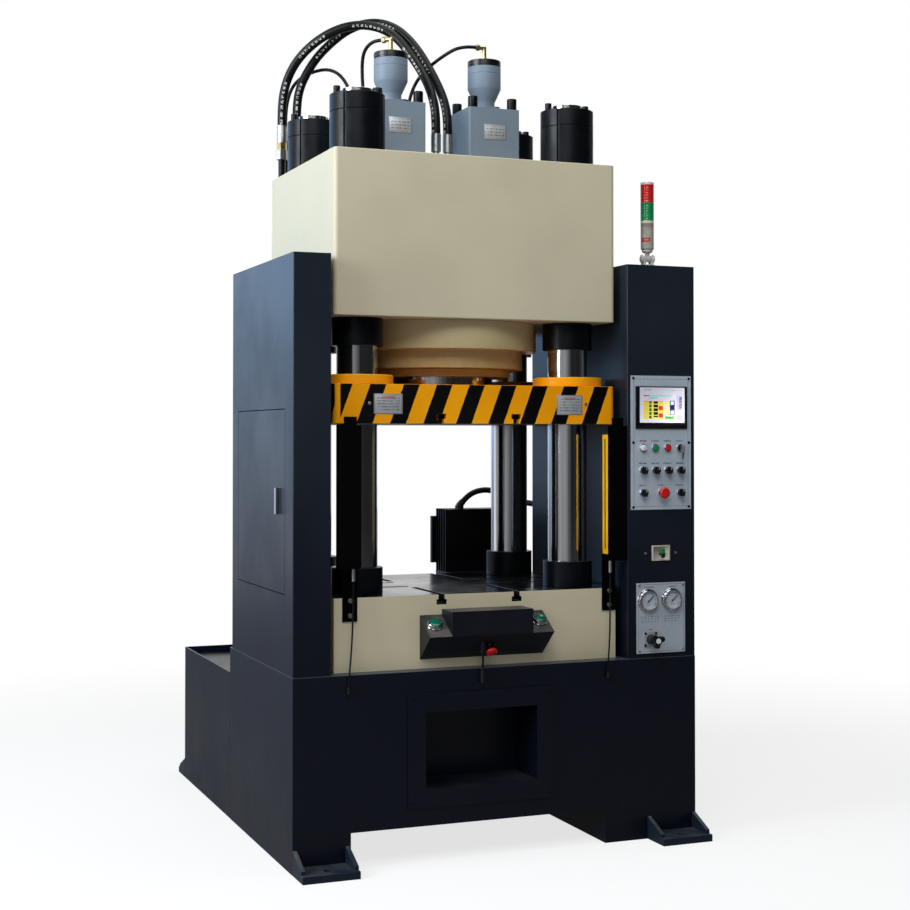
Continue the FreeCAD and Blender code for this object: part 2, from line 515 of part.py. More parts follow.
# ---------------------------------------------------------------- hoses and cables
def tube(name, points, radius):
    """A round tube along straight runs joined by arcs as large as the runs allow."""
    spots = [Vector(*(size_of(c) for c in point)) for point in points]
    edges, here, radii = [], spots[0], []
    for before, at, after in zip(spots, spots[1:], spots[2:]):
        back, ahead = (before - at), (after - at)
        run = min(back.Length, ahead.Length)
        back.normalize()
        ahead.normalize()
        turn = math.pi - back.getAngle(ahead)
        reach = 0.45 * run
        radii.append(reach / math.tan(turn / 2))
        start, end = at + back * reach, at + ahead * reach
        inward = back + ahead
        inward.normalize()
        centre = at + inward * (radii[-1] / math.cos(turn / 2))
        middle = centre - inward * radii[-1]
        edges.append(Part.LineSegment(here, start).toShape())
        edges.append(Part.Arc(start, middle, end).toShape())
        here = end
    edges.append(Part.LineSegment(here, spots[-1]).toShape())
    path = Part.Wire(edges)
    first = spots[1] - spots[0]
    circle = Part.Wire(Part.Circle(spots[0], first, size_of(radius)).toShape())
    thing = doc.addObject("Part::Feature", name)
    thing.Shape = path.makePipeShell([circle], True, False)
    expected = math.pi * size_of(radius) ** 2 * path.Length
    print(f"{name}: length {path.Length:.0f} mm, least radius {min(radii):.0f} mm, "
          f"volume against section {thing.Shape.Volume / expected:.4f}")
    return thing


PIPE_Y = "(base_d / 2 - tank_d / 2 + pipe_back)"
HOSE_START = "(pipe_top + hex_h + brass_hex_h + ferrule_h)"
HOSE_END = f"({CROWN_TOP} + port_h + ferrule_h)"


def above_crown(*points, port="0", wide="1"):
    """Points counted from the middle of the crown's top face, drawn out from the hose's port."""
    return [(f"press_x + {port} + ({x} - {port}) * {wide}", f"{PRESS_Y} + {y}",
             f"{CROWN_TOP} + {z}") for x, y, z in points]


OUTER_START = ("press_x - hose_outer_x", PIPE_Y, HOSE_START)
INNER_START = ("press_x - hose_inner_x", PIPE_Y, HOSE_START)
OUTER_END = ("press_x - outer_port_x", PRESS_Y, HOSE_END)
INNER_END = ("press_x + inner_port_x", PRESS_Y, HOSE_END)
HOSES = {
    "hose_outer": [OUTER_START, *above_crown(
        (-469, 455, 296), (-462, 445, 367), (-442, 426, 433), (-409, 397, 489), (-366, 358, 534),
        (-315, 315, 568), (-257, 275, 588), (-195, 237, 589), (-138, 201, 568), (-94, 167, 526),
        (-61, 131, 464), (-34, 89, 398), (-18, 49, 333), (-10, 17, 269), (-8, 0, 205),
        port="(-outer_port_x)", wide="((hose_outer_x - outer_port_x) / outer_route_w)"),
        OUTER_END],
    "hose_inner": [INNER_START, *above_crown(
        (-410, 455, 297), (-403, 443, 369), (-377, 425, 433), (-341, 402, 493), (-296, 374, 543),
        (-246, 340, 586), (-193, 299, 608), (-139, 254, 606), (-89, 211, 579), (-51, 172, 531),
        (-22, 135, 474), (1, 95, 408), (20, 57, 342), (33, 20, 274), (38, 0, 207),
        port="inner_port_x", wide="((hose_inner_x + inner_port_x) / inner_route_w)"),
        INNER_END],
}
# the two big hoses' ends: a pipe, nuts and a ferrule at the rear, a port at the cylinder head
fittings = list(elbows)
for name, route in HOSES.items():
    tag = name.split("_")[1].capitalize()
    node(name, tube("Hose" + tag, route, "hose_r"))
    x, end_x = route[0][0], route[-1][0]
    fittings.append(rod("Pipe" + tag, (x, PIPE_Y, "tank_h - tank_sunk"), "pipe_r",
                        "pipe_top - tank_h + tank_sunk"))
    fittings.append(hexagon("PipeNut" + tag, (x, PIPE_Y, "pipe_top"), "hex_r", "hex_h"))
    fittings.append(hexagon("BrassNut" + tag, (x, PIPE_Y, "pipe_top + hex_h"), "brass_hex_r",
                            "brass_hex_h"))
    fittings.append(rod("Ferrule" + tag, (x, PIPE_Y, "pipe_top + hex_h + brass_hex_h"),
                        "ferrule_r", "ferrule_h"))
    fittings.append(fuse("Port" + tag,
                         rod("PortStem" + tag, (end_x, PRESS_Y, CROWN_TOP), "pipe_r", "port_h"),
                         hexagon("PortHex" + tag, (end_x, PRESS_Y, CROWN_TOP), "brass_hex_r",
                                 "brass_hex_h")))
    fittings.append(rod("EndFerrule" + tag, (end_x, PRESS_Y, f"{CROWN_TOP} + port_h"),
                        "ferrule_r", "ferrule_h"))
clamp_z = f"({CROWN_LOW} + crown_h / 2)"
clamp_body = block("ClampBody", ("press_x - hose_outer_x - clamp_rim", BACK, clamp_z),
                   "hose_outer_x - hose_inner_x + 2 * clamp_rim", "pipe_back + clamp_rim",
                   "clamp_h")
clamp_holes = [rod(f"ClampHole{i}", (HOSES[name][0][0], PIPE_Y, f"{clamp_z} - past"),
                   "pipe_r + fit", "clamp_h + 2 * past") for i, name in enumerate(HOSES)]
fittings.append(cut("PipeClamp", clamp_body, *clamp_holes))

# thin pilot hoses from the valve cups and from the rear down to ports on the crown
PORT_Z = f"({CROWN_TOP} + pilot_nut_h)"
PILOTS = {
    "pilot_hose_left": [
        (f"press_x - valve_off - {SLANT} * elbow_out", f"{PRESS_Y} + {SLANT} * elbow_out", ELBOW_Z),
        *above_crown(
            (-227, 42, 481), (-241, 62, 475), (-250, 83, 463), (-255, 98, 448), (-256, 110, 430),
            (-255, 120, 407), (-253, 126, 380), (-251, 129, 349), (-248, 130, 317),
            (-245, 130, 283), (-243, 130, 248), (-242, 130, 212), (-241, 131, 175),
            (-241, 132, 137), (-242, 133, 60)),
        ("press_x - 242", f"{PRESS_Y} + 133", PORT_Z)],
    "pilot_hose_right": [
        ("press_x + valve_off - elbow_out", PRESS_Y, ELBOW_Z),
        *above_crown(
            (126, 0, 481), (99, 8, 478), (77, 25, 473), (59, 50, 462), (44, 78, 451),
            (29, 105, 438), (12, 129, 421), (-8, 147, 398), (-27, 157, 369), (-42, 161, 336),
            (-53, 160, 301), (-60, 156, 266), (-65, 151, 231), (-69, 146, 195), (-71, 141, 159),
            (-71, 137, 123), (-71, 133, 72)),
        ("press_x - 71", f"{PRESS_Y} + 133", PORT_Z)],
    "pilot_hose_rear": [
        ("press_x - 440", f"{PRESS_Y} + 495", PORT_Z),
        *above_crown(
            (-440, 495, 80), (-441, 495, 138), (-442, 494, 196), (-443, 494, 253),
            (-440, 493, 306), (-430, 493, 353), (-414, 491, 389), (-394, 484, 413),
            (-374, 471, 428), (-355, 450, 437), (-337, 418, 440), (-323, 377, 437),
            (-313, 334, 427), (-304, 291, 411), (-295, 250, 387), (-286, 214, 353),
            (-278, 183, 309), (-272, 161, 257), (-270, 145, 200), (-270, 136, 141),
            (-270, 133, 82)),
        ("press_x - 270", f"{PRESS_Y} + 133", PORT_Z)],
}
for name, route in PILOTS.items():
    node(name, tube(name.title().replace("_", ""), route, "pilot_r"))
pilot_ports = [("Left", PILOTS["pilot_hose_left"][-1]), ("Right", PILOTS["pilot_hose_right"][-1]),
               ("Mid", PILOTS["pilot_hose_rear"][-1])]
for tag, spot in pilot_ports:
    fittings.append(hexagon("PilotPort" + tag, (spot[0], spot[1], CROWN_TOP), "elbow_nut_r",
                            "pilot_nut_h"))
rear_port = PILOTS["pilot_hose_rear"][0]
fittings.append(fuse(
    "RearPort", hexagon("RearPortNut", (rear_port[0], rear_port[1], f"{CROWN_TOP} - port_sunk"),
                        "elbow_nut_r", "pilot_nut_h + port_sunk"),
    block("RearPortArm", (f"{rear_port[0]} - pipe_r", BACK, f"{CROWN_TOP} - pilot_nut_h"),
          "2 * pipe_r", f"{rear_port[1]} - {BACK} + pipe_r", "pilot_nut_h / 2")))
node("hose_fittings", several("HoseFittings", *fittings))


# ---------------------------------------------------------------- side cabinets and doors
def edge(side, depth, length="0"):
    """The low x of a piece that starts at a depth inside a side face of the press."""
    return f"({depth} - base_w / 2)" if side < 0 else f"(base_w / 2 - ({depth}) - ({length}))"


def small_screw(name, x, z, face):
    """A small screw into two sheets behind a face at the front; returns its drill."""
    stem = rod(name + "Stem", (x, face, z), "pin_shank_r", "panel_t + sheet", "+y")
    head = rod(name + "Head", (x, face, z), "pin_head_r", "pin_head_h", "-y")
    screws.append(fuse(name, stem, head))
    return rod(name + "Drill", (x, f"{face} - past", z), "pin_shank_r + fit",
               "panel_t + sheet + 2 * past", "+y")


def cabinet(tag, side, wide, tall, low, high, windows):
    """A sheet cabinet with a door in its outer side; returns the cabinet, door and handle."""
    shell = padded(tag + "Shell", "XY_Plane", rectangle(wide, "cab_d"), tall,
                   (edge(side, "0", wide), FRONT, "base_h"), edge="cab_edge", along=upright)
    hollow = block(tag + "Hollow", (edge(side, "sheet", f"{wide} - 2 * sheet"),
                   f"{FRONT} + sheet", "base_h + sheet"), f"{wide} - 2 * sheet",
                   "cab_d - 2 * sheet", f"{tall} - 2 * sheet")
    door_y = f"({FRONT} + door_front)"
    door_z = f"(base_h + {low})"
    mouth = block(tag + "Mouth", (edge(side, "-past", "sheet + 2 * past"), f"{door_y} - door_gap",
                  f"{door_z} - door_gap"), "sheet + 2 * past", "door_long + 2 * door_gap",
                  f"{high} + 2 * door_gap")
    pivot = (edge(side, "hinge_in"), f"({door_y} + door_long - hinge_in)")
    lugs, bores, pins = [], [], []
    for end, start, pin_low in (("Low", f"{door_z} - door_gap - lug", f"{door_z} - hinge_long"),
                                ("High", f"{door_z} + {high} + door_gap", f"{door_z} + {high}")):
        lugs.append(block(tag + "Lug" + end, (edge(side, "sheet - past", "lug"),
                    f"{pivot[1]} - lug / 2", start), "lug", "lug", "lug"))
        bores.append(rod(tag + "Bore" + end, (*pivot, start), "hinge_r + run", "lug"))
        overlap = "0" if end == "Low" else "sheet"
        pins.append(rod(tag + "Pin" + end, (*pivot, f"{pin_low} - {overlap}"), "hinge_r",
                        "hinge_long + sheet"))
    body = cut(tag + "Sheets", shell, hollow, mouth, *windows)
    node("cabinet_" + tag.lower(), cut(tag + "Cabinet", fuse(tag + "Lugs", body, *lugs), *bores))
    pan = block(tag + "Pan", (edge(side, "0", "door_lip"), door_y, door_z), "door_lip",
                "door_long", high)
    inside = block(tag + "PanInside", (edge(side, "sheet", "door_lip"), f"{door_y} + sheet",
                   f"{door_z} + sheet"), "door_lip", "door_long - 2 * sheet",
                   f"{high} - 2 * sheet")
    grip_y = f"({FRONT} + grip_from + grip_w / 2)"
    grip_z = "(base_h + grip_top - grip_w / 2)"
    inward = "+x" if side < 0 else "-x"
    grip = block(tag + "Grip", (edge(side, "-grip_gap - grip_t", "grip_t"),
                 f"{FRONT} + grip_from", "base_h + grip_top - grip_h"), "grip_t", "grip_w",
                 "grip_h")
    stem = rod(tag + "GripStem", (edge(side, "-grip_gap - grip_t / 2"), grip_y, grip_z),
               "grip_stem_r", "grip_gap + grip_t / 2 + grip_stem_in", inward)
    disc = rod(tag + "GripDisc", (edge(side, "sheet + run"), grip_y, grip_z), "grip_disc_r",
               "grip_disc_h", inward)
    hole = rod(tag + "GripHole", (edge(side, "-past"), grip_y, grip_z), "grip_stem_r + run",
               "sheet + 2 * past", inward)
    door = cut(tag + "DoorPan", pan, inside)
    handle = fuse(tag + "Handle", grip, stem, disc)
    return door, pins, hole, handle


# what stands on the control panel, and the windows in the right cabinet behind it
FACE = f"({FRONT} - panel_t)"
PANEL_LOW = "(base_h + panel_low)"
GAUGE_X = f"({PANEL_X} - plate_shift)"
GAUGE_LOW = "(base_h + gauge_panel_low)"
panel_window = block("PanelWindow", (f"{PANEL_X} - panel_w / 2 + panel_window", f"{FRONT} - past",
                     f"{PANEL_LOW} + panel_window"), "panel_w - 2 * panel_window", "sheet + 2 * past",
                     "panel_h - 2 * panel_window")
panel_drills, gauge_drills = [], []
for i in (-1, 1):
    x = f"({PANEL_X} + {i} * (panel_w / 2 - panel_screw_in))"
    for j in (-1, 0, 1):
        z = f"({PANEL_LOW} + panel_h / 2 + {j} * (panel_h / 2 - panel_screw_in))"
        panel_drills.append(small_screw(f"PanelScrew{i + 1}{j + 1}", x, z, FACE))
    x = f"({GAUGE_X} + {i} * (gauge_panel_w / 2 - panel_screw_in))"
    for j in (-1, 1):
        z = f"({GAUGE_LOW} + gauge_panel_h / 2 + {j} * (gauge_panel_h / 2 - panel_screw_in))"
        gauge_drills.append(small_screw(f"GaugeScrew{i + 1}{j + 1}", x, z, FACE))

touch_x = f"{PANEL_X} - touch_w / 2"
touch_z = f"({PANEL_LOW} + touch_up)"
touch_cut = block("TouchCut", (f"{touch_x} + touch_lip", f"{FACE} - past", f"{touch_z} + touch_lip"),
                  "touch_w - 2 * touch_lip", "panel_t + 2 * past", "touch_h - 2 * touch_lip")
touch_frame = block("TouchFrame", (touch_x, f"{FACE} - touch_rim", touch_z), "touch_w",
                    "touch_rim", "touch_h")
touch_back = block("TouchBack", (f"{touch_x} + touch_lip + fit", FACE,
                   f"{touch_z} + touch_lip + fit"), "touch_w - 2 * touch_lip - 2 * fit",
                   "touch_deep", "touch_h - 2 * touch_lip - 2 * fit")
node("touch_panel", fuse("TouchPanel", touch_frame, touch_back))

# one body serves every switch; its own Z points forward, and 0 is the panel's face
SWITCH = [("0", "-switch_deep"), ("bezel_r", "-switch_deep"), ("bezel_r", "-panel_t"),
          ("button_hole - fit", "-panel_t"), ("button_hole - fit", "0"), ("bezel_r", "0"),
          ("bezel_r", "bezel_h"), ("cap_r + run", "bezel_h"), ("cap_r + run", "bezel_floor"),
          ("stem_r + run", "bezel_floor"), ("stem_r + run", "-stem_deep"), ("0", "-stem_deep")]
STEM_END = "(-stem_deep + push_travel + 2 * spare)"
PUSH = [("0", STEM_END), ("stem_r", STEM_END),
        ("stem_r", "bezel_floor + push_travel + spare"),
        ("cap_r", "bezel_floor + push_travel + spare"),
        ("cap_r", "bezel_floor + push_travel + spare + cap_h"),
        ("0", "bezel_floor + push_travel + spare + cap_h")]
KNOB_LOW = "(bezel_h + spare)"
KNOB_TOP = "(bezel_h + spare + knob_h)"
STOP = [("0", STEM_END), ("stem_r", STEM_END), ("stem_r", "stop_up"),
        ("stop_r - stop_foot", "stop_up"), ("stop_r", "stop_up + stop_foot"),
        ("stop_r", "stop_up + stop_h - stop_round"), ("stop_r - stop_round", "stop_up + stop_h"),
        ("0", "stop_up + stop_h")]


def column_x(place):
    return f"({PANEL_X} + {place} * button_pitch)"


def row_z(row):
    return f"({PANEL_LOW} + row_up - {row} * row_pitch)"


LAYOUT = [("lamp", -1.5, 0), ("push_green", -0.5, 0), ("push_red", 0.5, 0),
          ("key_switch", 1.5, 0), ("selector_1", -1.5, 1), ("selector_2", -0.5, 1),
          ("selector_3", 0.5, 1), ("selector_4", 1.5, 1), ("selector_5", -1.5, 2),
          ("panel_estop", 0, 2), ("selector_6", 1.5, 2)]
bodies, switch_drills = [], []
for label, across, row in LAYOUT:
    name = label.title().replace("_", "")
    x, z = column_x(across), row_z(row)
    bodies.append(turned(name + "Body", SWITCH, (x, FACE, z), "-y"))
    switch_drills.append(rod(name + "Drill", (x, f"{FACE} - past", z), "button_hole",
                             "panel_t + 2 * past", "+y"))
    if label == "lamp":
        bodies.append(rod(name + "Lens", (x, f"{FACE} - bezel_floor", z), "cap_r",
                          "bezel_h - bezel_floor + lamp_h", "-y"))
    elif label.startswith("push"):
        node(label, turned(name, PUSH, (x, FACE, z), "-y"))
    elif label == "panel_estop":
        node(label, turned(name, STOP, (x, FACE, z), "-y"))
    elif label == "key_switch":
        barrel_end = "bezel_h + spare"
        stem = [("0", STEM_END), ("stem_r", STEM_END), ("stem_r", "bezel_floor + spare"),
                ("cap_r", "bezel_floor + spare"), ("cap_r", barrel_end), ("0", barrel_end)]
        key = block("KeyBow", (f"{x} - key_w / 2", f"{FACE} - bezel_h - key_long",
                    f"{z} - key_bow / 2"), "key_w", "key_long", "key_bow")
        node(label, fuse(name, turned(name + "Barrel", stem, (x, FACE, z), "-y"), key))
    else:
        stem = [("0", STEM_END), ("stem_r", STEM_END), ("stem_r", KNOB_LOW),
                ("knob_r", KNOB_LOW), ("knob_r", KNOB_TOP), ("0", KNOB_TOP)]
        grip = block(name + "Grip", (f"{x} - knob_grip_w / 2",
                     f"{FACE} - {KNOB_TOP} - knob_grip_h", f"{z} - knob_r + past"), "knob_grip_w",
                     "knob_grip_h", "2 * knob_r - 2")
        node(label, fuse(name, turned(name + "Knob", stem, (x, FACE, z), "-y"), grip))

panel_plate = block("PanelPlate", (f"{PANEL_X} - panel_w / 2", FACE, PANEL_LOW), "panel_w",
                    "panel_t", "panel_h")
node("control_panel", cut("ControlPanel", panel_plate, touch_cut, *switch_drills, *panel_drills))

# the main switch below the panel: a plate, a body behind it and a rocking lever
iso_x = f"({PANEL_X} - plate_shift)"
iso_z = "(base_h + iso_up)"
iso_plate = block("IsoPlate", (f"{iso_x} - iso_w / 2", f"{FRONT} - iso_plate",
                  f"{iso_z} - iso_h / 2"), "iso_w", "iso_plate", "iso_h")
iso_body = block("IsoBody", (f"{iso_x} - iso_body / 2", f"{FRONT} - iso_plate / 2",
                 f"{iso_z} - iso_body / 2"), "iso_body", "iso_deep", "iso_body")
iso_axis = f"({FRONT} - iso_plate + iso_pin_in)"
iso_pocket = rod("IsoPocket", (f"{iso_x} - iso_lever_w / 2 - run", iso_axis, iso_z),
                 "iso_pin_r + run", "iso_lever_w + 2 * run", "+x")
bodies.append(cut("IsoSwitch", fuse("IsoSolid", iso_plate, iso_body), iso_pocket))
iso_drills = [small_screw(f"IsoScrew{i + 1}", f"{iso_x} + {i} * iso_screw_at", iso_z, FRONT)
              for i in (-1, 1)]
iso_window = block("IsoWindow", (f"{iso_x} - iso_body / 2 - fit", f"{FRONT} - past",
                   f"{iso_z} - iso_body / 2 - fit"), "iso_body + 2 * fit", "sheet + 2 * past",
                   "iso_body + 2 * fit")
node("isolator_lever", fuse(
    "IsolatorLever",
    rod("LeverBarrel", (f"{iso_x} - iso_lever_w / 2", iso_axis, iso_z), "iso_pin_r",
        "iso_lever_w", "+x"),
    block("LeverNeck", (f"{iso_x} - iso_lever_w / 2",
          f"{iso_axis} - iso_pin_in - iso_lever_out - past", f"{iso_z} - iso_lever_t / 2"),
          "iso_lever_w", "iso_pin_in + iso_lever_out + past", "iso_lever_t"),
    block("LeverFace", (f"{iso_x} - iso_lever_w / 2",
          f"{iso_axis} - iso_pin_in - iso_lever_out - iso_lever_t",
          f"{iso_z} - iso_lever_h / 2"), "iso_lever_w", "iso_lever_t", "iso_lever_h")))

# ---------------------------------------------------------------- gauge panel
gauge_cases, gauge_windows = [], []
gauge_z = f"({GAUGE_LOW} + gauge_up)"
CASE = [("0", "-gauge_deep"), ("gauge_body_r", "-gauge_deep"), ("gauge_body_r", "0"),
        ("gauge_flange_r", "0"), ("gauge_flange_r", "gauge_flange_h"),
        ("gauge_r", "gauge_flange_h"), ("gauge_r", "gauge_out"),
        ("gauge_r - gauge_bezel", "gauge_out"), ("gauge_r - gauge_bezel", "gauge_dial"),
        ("spindle_r + run", "gauge_dial"), ("spindle_r + run", "0"), ("0", "0")]
for side, label in ((-1, "left"), (1, "right")):
    x = f"({GAUGE_X} - gauge_shift + {side} * gauge_pitch / 2)"
    tag = label.title()
    gauge_cases.append(turned("GaugeCase" + tag, CASE, (x, FACE, gauge_z), "-y"))
    gauge_windows.append(rod("GaugeWindow" + tag, (x, f"{FACE} - past", gauge_z),
                             "gauge_body_r + fit", "panel_t + sheet + 2 * past", "+y"))
    dial = f"({FACE} - gauge_dial)"
    spindle = rod("Spindle" + tag, (x, f"{dial} + gauge_dial - spare", gauge_z), "spindle_r",
                  "gauge_dial - spare + dial_up", "-y")
    corner = (f"{x} - cos(pointer_lean) * pointer_w / 2 - sin(pointer_lean) * pointer_tail",
              f"{dial} - dial_up",
              f"{gauge_z} + sin(pointer_lean) * pointer_w / 2 - cos(pointer_lean) * pointer_tail")
    blade = block("Blade" + tag, corner, "pointer_w", "pointer_t", "pointer_long + pointer_tail",
                  Rotation(Vector(0, 1, 0), size_of("pointer_lean")))
    node("gauge_pointer_" + label, fuse("Pointer" + tag, spindle, blade))
valve_at = (f"({GAUGE_X} - valve_x)", f"({GAUGE_LOW} + valve_up)")
valve_drills = [small_screw(f"HandValveScrew{i + 1}{j + 1}", f"{valve_at[0]} + {i} * valve_screw_at",
                            f"{valve_at[1]} + {j} * valve_screw_at",
                            f"({FACE} - valve_flange_h)") for i in (-1, 1) for j in (-1, 1)]
valve_plate = block("HandValvePlate", (f"{valve_at[0]} - valve_flange_w / 2",
                    f"{FACE} - valve_flange_h", f"{valve_at[1]} - valve_flange_w / 2"),
                    "valve_flange_w", "valve_flange_h", "valve_flange_w")
valve_body = rod("HandValveBody", (valve_at[0], FACE, valve_at[1]), "hand_valve_r",
                 "hand_valve_out", "-y")
valve_bore = rod("HandValveBore", (valve_at[0], f"{FACE} - valve_flange_h", valve_at[1]),
                 "handle_stem_r + run", "hand_valve_out", "-y")
gauge_cases.append(cut("HandValve", fuse("HandValveSolid", valve_plate, valve_body), valve_bore,
                       *valve_drills))
node("gauge_fittings", several("GaugeFittings", *gauge_cases))
gauge_plate = block("GaugePlate", (f"{GAUGE_X} - gauge_panel_w / 2", FACE, GAUGE_LOW),
                    "gauge_panel_w", "panel_t", "gauge_panel_h")
node("gauge_panel", cut("GaugePanel", gauge_plate, *gauge_windows, *gauge_drills,
                        *valve_drills))
handle_from = "(hand_valve_out + handle_gap)"
handle_parts = [
    rod("HandleStem", (valve_at[0], f"{FACE} - valve_flange_h - handle_gap", valve_at[1]),
        "handle_stem_r", f"{handle_from} - valve_flange_h", "-y"),
    rod("HandleHub", (valve_at[0], f"{FACE} - {handle_from}", valve_at[1]), "handle_r",
        "handle_h", "-y")]
for i in range(3):
    angle = math.radians(20 + 120 * i)
    handle_parts.append(rod(
        f"HandleLobe{i}", (f"{valve_at[0]} + {math.cos(angle)} * lobe_at",
        f"{FACE} - {handle_from}", f"{valve_at[1]} + {math.sin(angle)} * lobe_at"), "lobe_r",
        "handle_h", "-y"))
node("hand_valve_handle", fuse("HandValveHandle", *handle_parts))

# ---------------------------------------------------------------- the cabinets themselves
node("switch_bodies", several("SwitchBodies", *bodies))
left_door = cabinet("Left", -1, "cab_left_w", "cab_left_h", "door_low", "door_h", [])
node("door_left", cut("DoorLeft", fuse("DoorLeftSolid", left_door[0], *left_door[1]),
                      left_door[2]))
node("door_left_handle", left_door[3])
right_windows = [panel_window, iso_window, *gauge_windows, *panel_drills, *gauge_drills,
                 *iso_drills, *valve_drills]
right_door = cabinet("Right", 1, "cab_right_w", "cab_right_h", "door_right_low",
                     "door_right_h", right_windows)
node("door_right", fuse("DoorRight", right_door[0], *right_door[1], right_door[3]))

# ---------------------------------------------------------------- signal tower
tower_x = f"({PANEL_X} + panel_shift)"
tower_y = f"({FRONT} + tower_back)"
TOWER_LOW = "(base_h + cab_right_h)"
pivot_z = f"({TOWER_LOW} + tower_foot_h + tower_pivot)"
tower_cheeks, tower_bores = [], []
for side, start in ((-1, f"{tower_x} - tower_knuckle_w / 2 - run - tower_fork"),
                    (1, f"{tower_x} + tower_knuckle_w / 2 + run")):
    tower_cheeks.append(block(f"TowerCheek{side + 1}", (start, f"{tower_y} - tower_round",
                        f"{TOWER_LOW} + tower_foot_h"), "tower_fork", "2 * tower_round",
                        "tower_pivot"))
    tower_cheeks.append(rod(f"TowerCheekRound{side + 1}", (start, tower_y, pivot_z),
                            "tower_round", "tower_fork", "+x"))
tower_bore = rod("TowerBore", (f"{tower_x} - tower_r", tower_y, pivot_z), "tower_pin_r + run",
                 "2 * tower_r", "+x")
tower_foot = rod("TowerFoot", (tower_x, tower_y, TOWER_LOW), "tower_foot_r", "tower_foot_h")
node("tower_base", cut("TowerBase", fuse("TowerSolid", tower_foot, *tower_cheeks), tower_bore))
knuckle_top = f"({TOWER_LOW} + tower_foot_h + tower_pivot + tower_round + tower_knuckle_w)"
knuckle = fuse(
    "TowerKnuckle",
    rod("TowerPin", (f"{tower_x} - tower_knuckle_w / 2 - tower_fork", tower_y, pivot_z),
        "tower_pin_r", "tower_knuckle_w + 2 * tower_fork", "+x"),
    rod("KnuckleRound", (f"{tower_x} - tower_knuckle_w / 2", tower_y, pivot_z), "tower_round",
        "tower_knuckle_w", "+x"),
    block("KnuckleNeck", (f"{tower_x} - tower_knuckle_w / 2", f"{tower_y} - tower_round",
          pivot_z), "tower_knuckle_w", "2 * tower_round", f"{knuckle_top} - {pivot_z}"),
    rod("KnuckleDisc", (tower_x, tower_y, f"{knuckle_top} - tower_disc"), "tower_r",
        "tower_disc"))
tower, level = [knuckle], knuckle_top
for label, tall in (("Tube", "tower_body_h"), ("Green", "tower_lens_h"), ("Red", "tower_red_h"),
                    ("Cap", "tower_cap_h")):
    tower.append(rod("Tower" + label, (tower_x, tower_y, level), "tower_r", tall))
    level = f"{level} + {tall}"
node("tower_light", several("TowerLight", *tower))

# ---------------------------------------------------------------- oil tank, motor and pump
COVER_TOP = "(tank_h - tank_sunk)"
tank_out = block("TankOut", ("-base_w / 2", BACK, "0"), "base_w", "tank_d", "tank_h")
tank_in = block("TankIn", ("tank_wall - base_w / 2", f"{BACK} + tank_wall", "tank_wall"),
                "base_w - 2 * tank_wall", "tank_d - 2 * tank_wall", "tank_h")
ledge_out = block("LedgeOut", ("tank_wall - base_w / 2 - past", f"{BACK} + tank_wall - past",
                  f"{COVER_TOP} - tank_cover - ledge"), "base_w - 2 * tank_wall + 2 * past",
                  "tank_d - 2 * tank_wall + 2 * past", "ledge")
ledge_in = block("LedgeIn", ("tank_wall + ledge - base_w / 2", f"{BACK} + tank_wall + ledge",
                 f"{COVER_TOP} - tank_cover - ledge - past"),
                 "base_w - 2 * tank_wall - 2 * ledge",
                 "tank_d - 2 * tank_wall - 2 * ledge", "ledge + 2 * past")
node("tank", fuse("Tank", cut("TankShell", tank_out, tank_in),
                  cut("TankLedge", ledge_out, ledge_in)))

motor_y = f"({BACK} + motor_back)"
stand_y = f"({BACK} + motor_back - stand_front)"
stand_x = "(motor_x - stand_w / 2)"
cover = block("TankCover", ("tank_wall + fit - base_w / 2", f"{BACK} + tank_wall + fit",
              f"{COVER_TOP} - tank_cover"), "base_w - 2 * tank_wall - 2 * fit",
              "tank_d - 2 * tank_wall - 2 * fit", "tank_cover")
stand_top = block("StandTop", (stand_x, stand_y, "motor_low - stand_plate"), "stand_w",
                  "stand_long", "stand_plate")
stand = [cover, stand_top]
for i in (0, 1):
    for j in (0, 1):
        stand.append(block(f"StandLeg{i}{j}", (f"{stand_x} + {i} * (stand_w - stand_leg)",
                     f"{stand_y} + {j} * (stand_long - stand_leg)", f"{COVER_TOP} - past"),
                     "stand_leg", "stand_leg", f"motor_low - stand_plate - {COVER_TOP} + 2 * past"))
pump_y = f"({motor_y} + motor_long + motor_flange + bell_long)"
suction_at = ("motor_x", f"{pump_y} + pump_long / 2")
suction_hole = rod("SuctionHole", (*suction_at, f"{COVER_TOP} + past"), "suction_r + fit",
                   f"motor_low - {COVER_TOP}")
node("tank_lid", cut("TankLid", fuse("TankLidSolid", *stand), suction_hole))

motor_z = "(motor_low + motor_h / 2)"
motor = [block("MotorBody", ("motor_x - motor_w / 2", motor_y, "motor_low"), "motor_w",
               "motor_long", "motor_h"),
         block("MotorFlange", ("motor_x - motor_w / 2 - fin_deep - motor_flange_out",
               f"{motor_y} + motor_long", "motor_low + motor_flange_in"),
               "motor_w + 2 * fin_deep + 2 * motor_flange_out", "motor_flange",
               "motor_h - 2 * motor_flange_in"),
         rod("BellHousing", ("motor_x", f"{motor_y} + motor_long", motor_z), "bell_r",
             "bell_long + motor_flange", "+y"),
         block("PumpBody", ("motor_x - pump_w / 2", pump_y, f"{motor_z} - pump_h / 2"),
               "pump_w", "pump_long", "pump_h"),
         rod("SuctionPipe", (*suction_at, COVER_TOP), "suction_r", f"{motor_z} - {COVER_TOP}")]
fins = int(size_of("(motor_long - fin_t) / fin_pitch")) + 1
for i in range(fins):
    motor.append(block(f"MotorFin{i}", ("motor_x - motor_w / 2 - fin_deep",
                       f"{motor_y} + {i} * fin_pitch", "motor_low"), "motor_w + 2 * fin_deep",
                       "fin_t", "motor_h"))
node("motor_pump", fuse("MotorPump", *motor))

# the conduit from the top of the motor to the back of the right cabinet
MOTOR_TOP = "(motor_low + motor_h)"
CAB_BACK = f"({FRONT} + cab_d)"


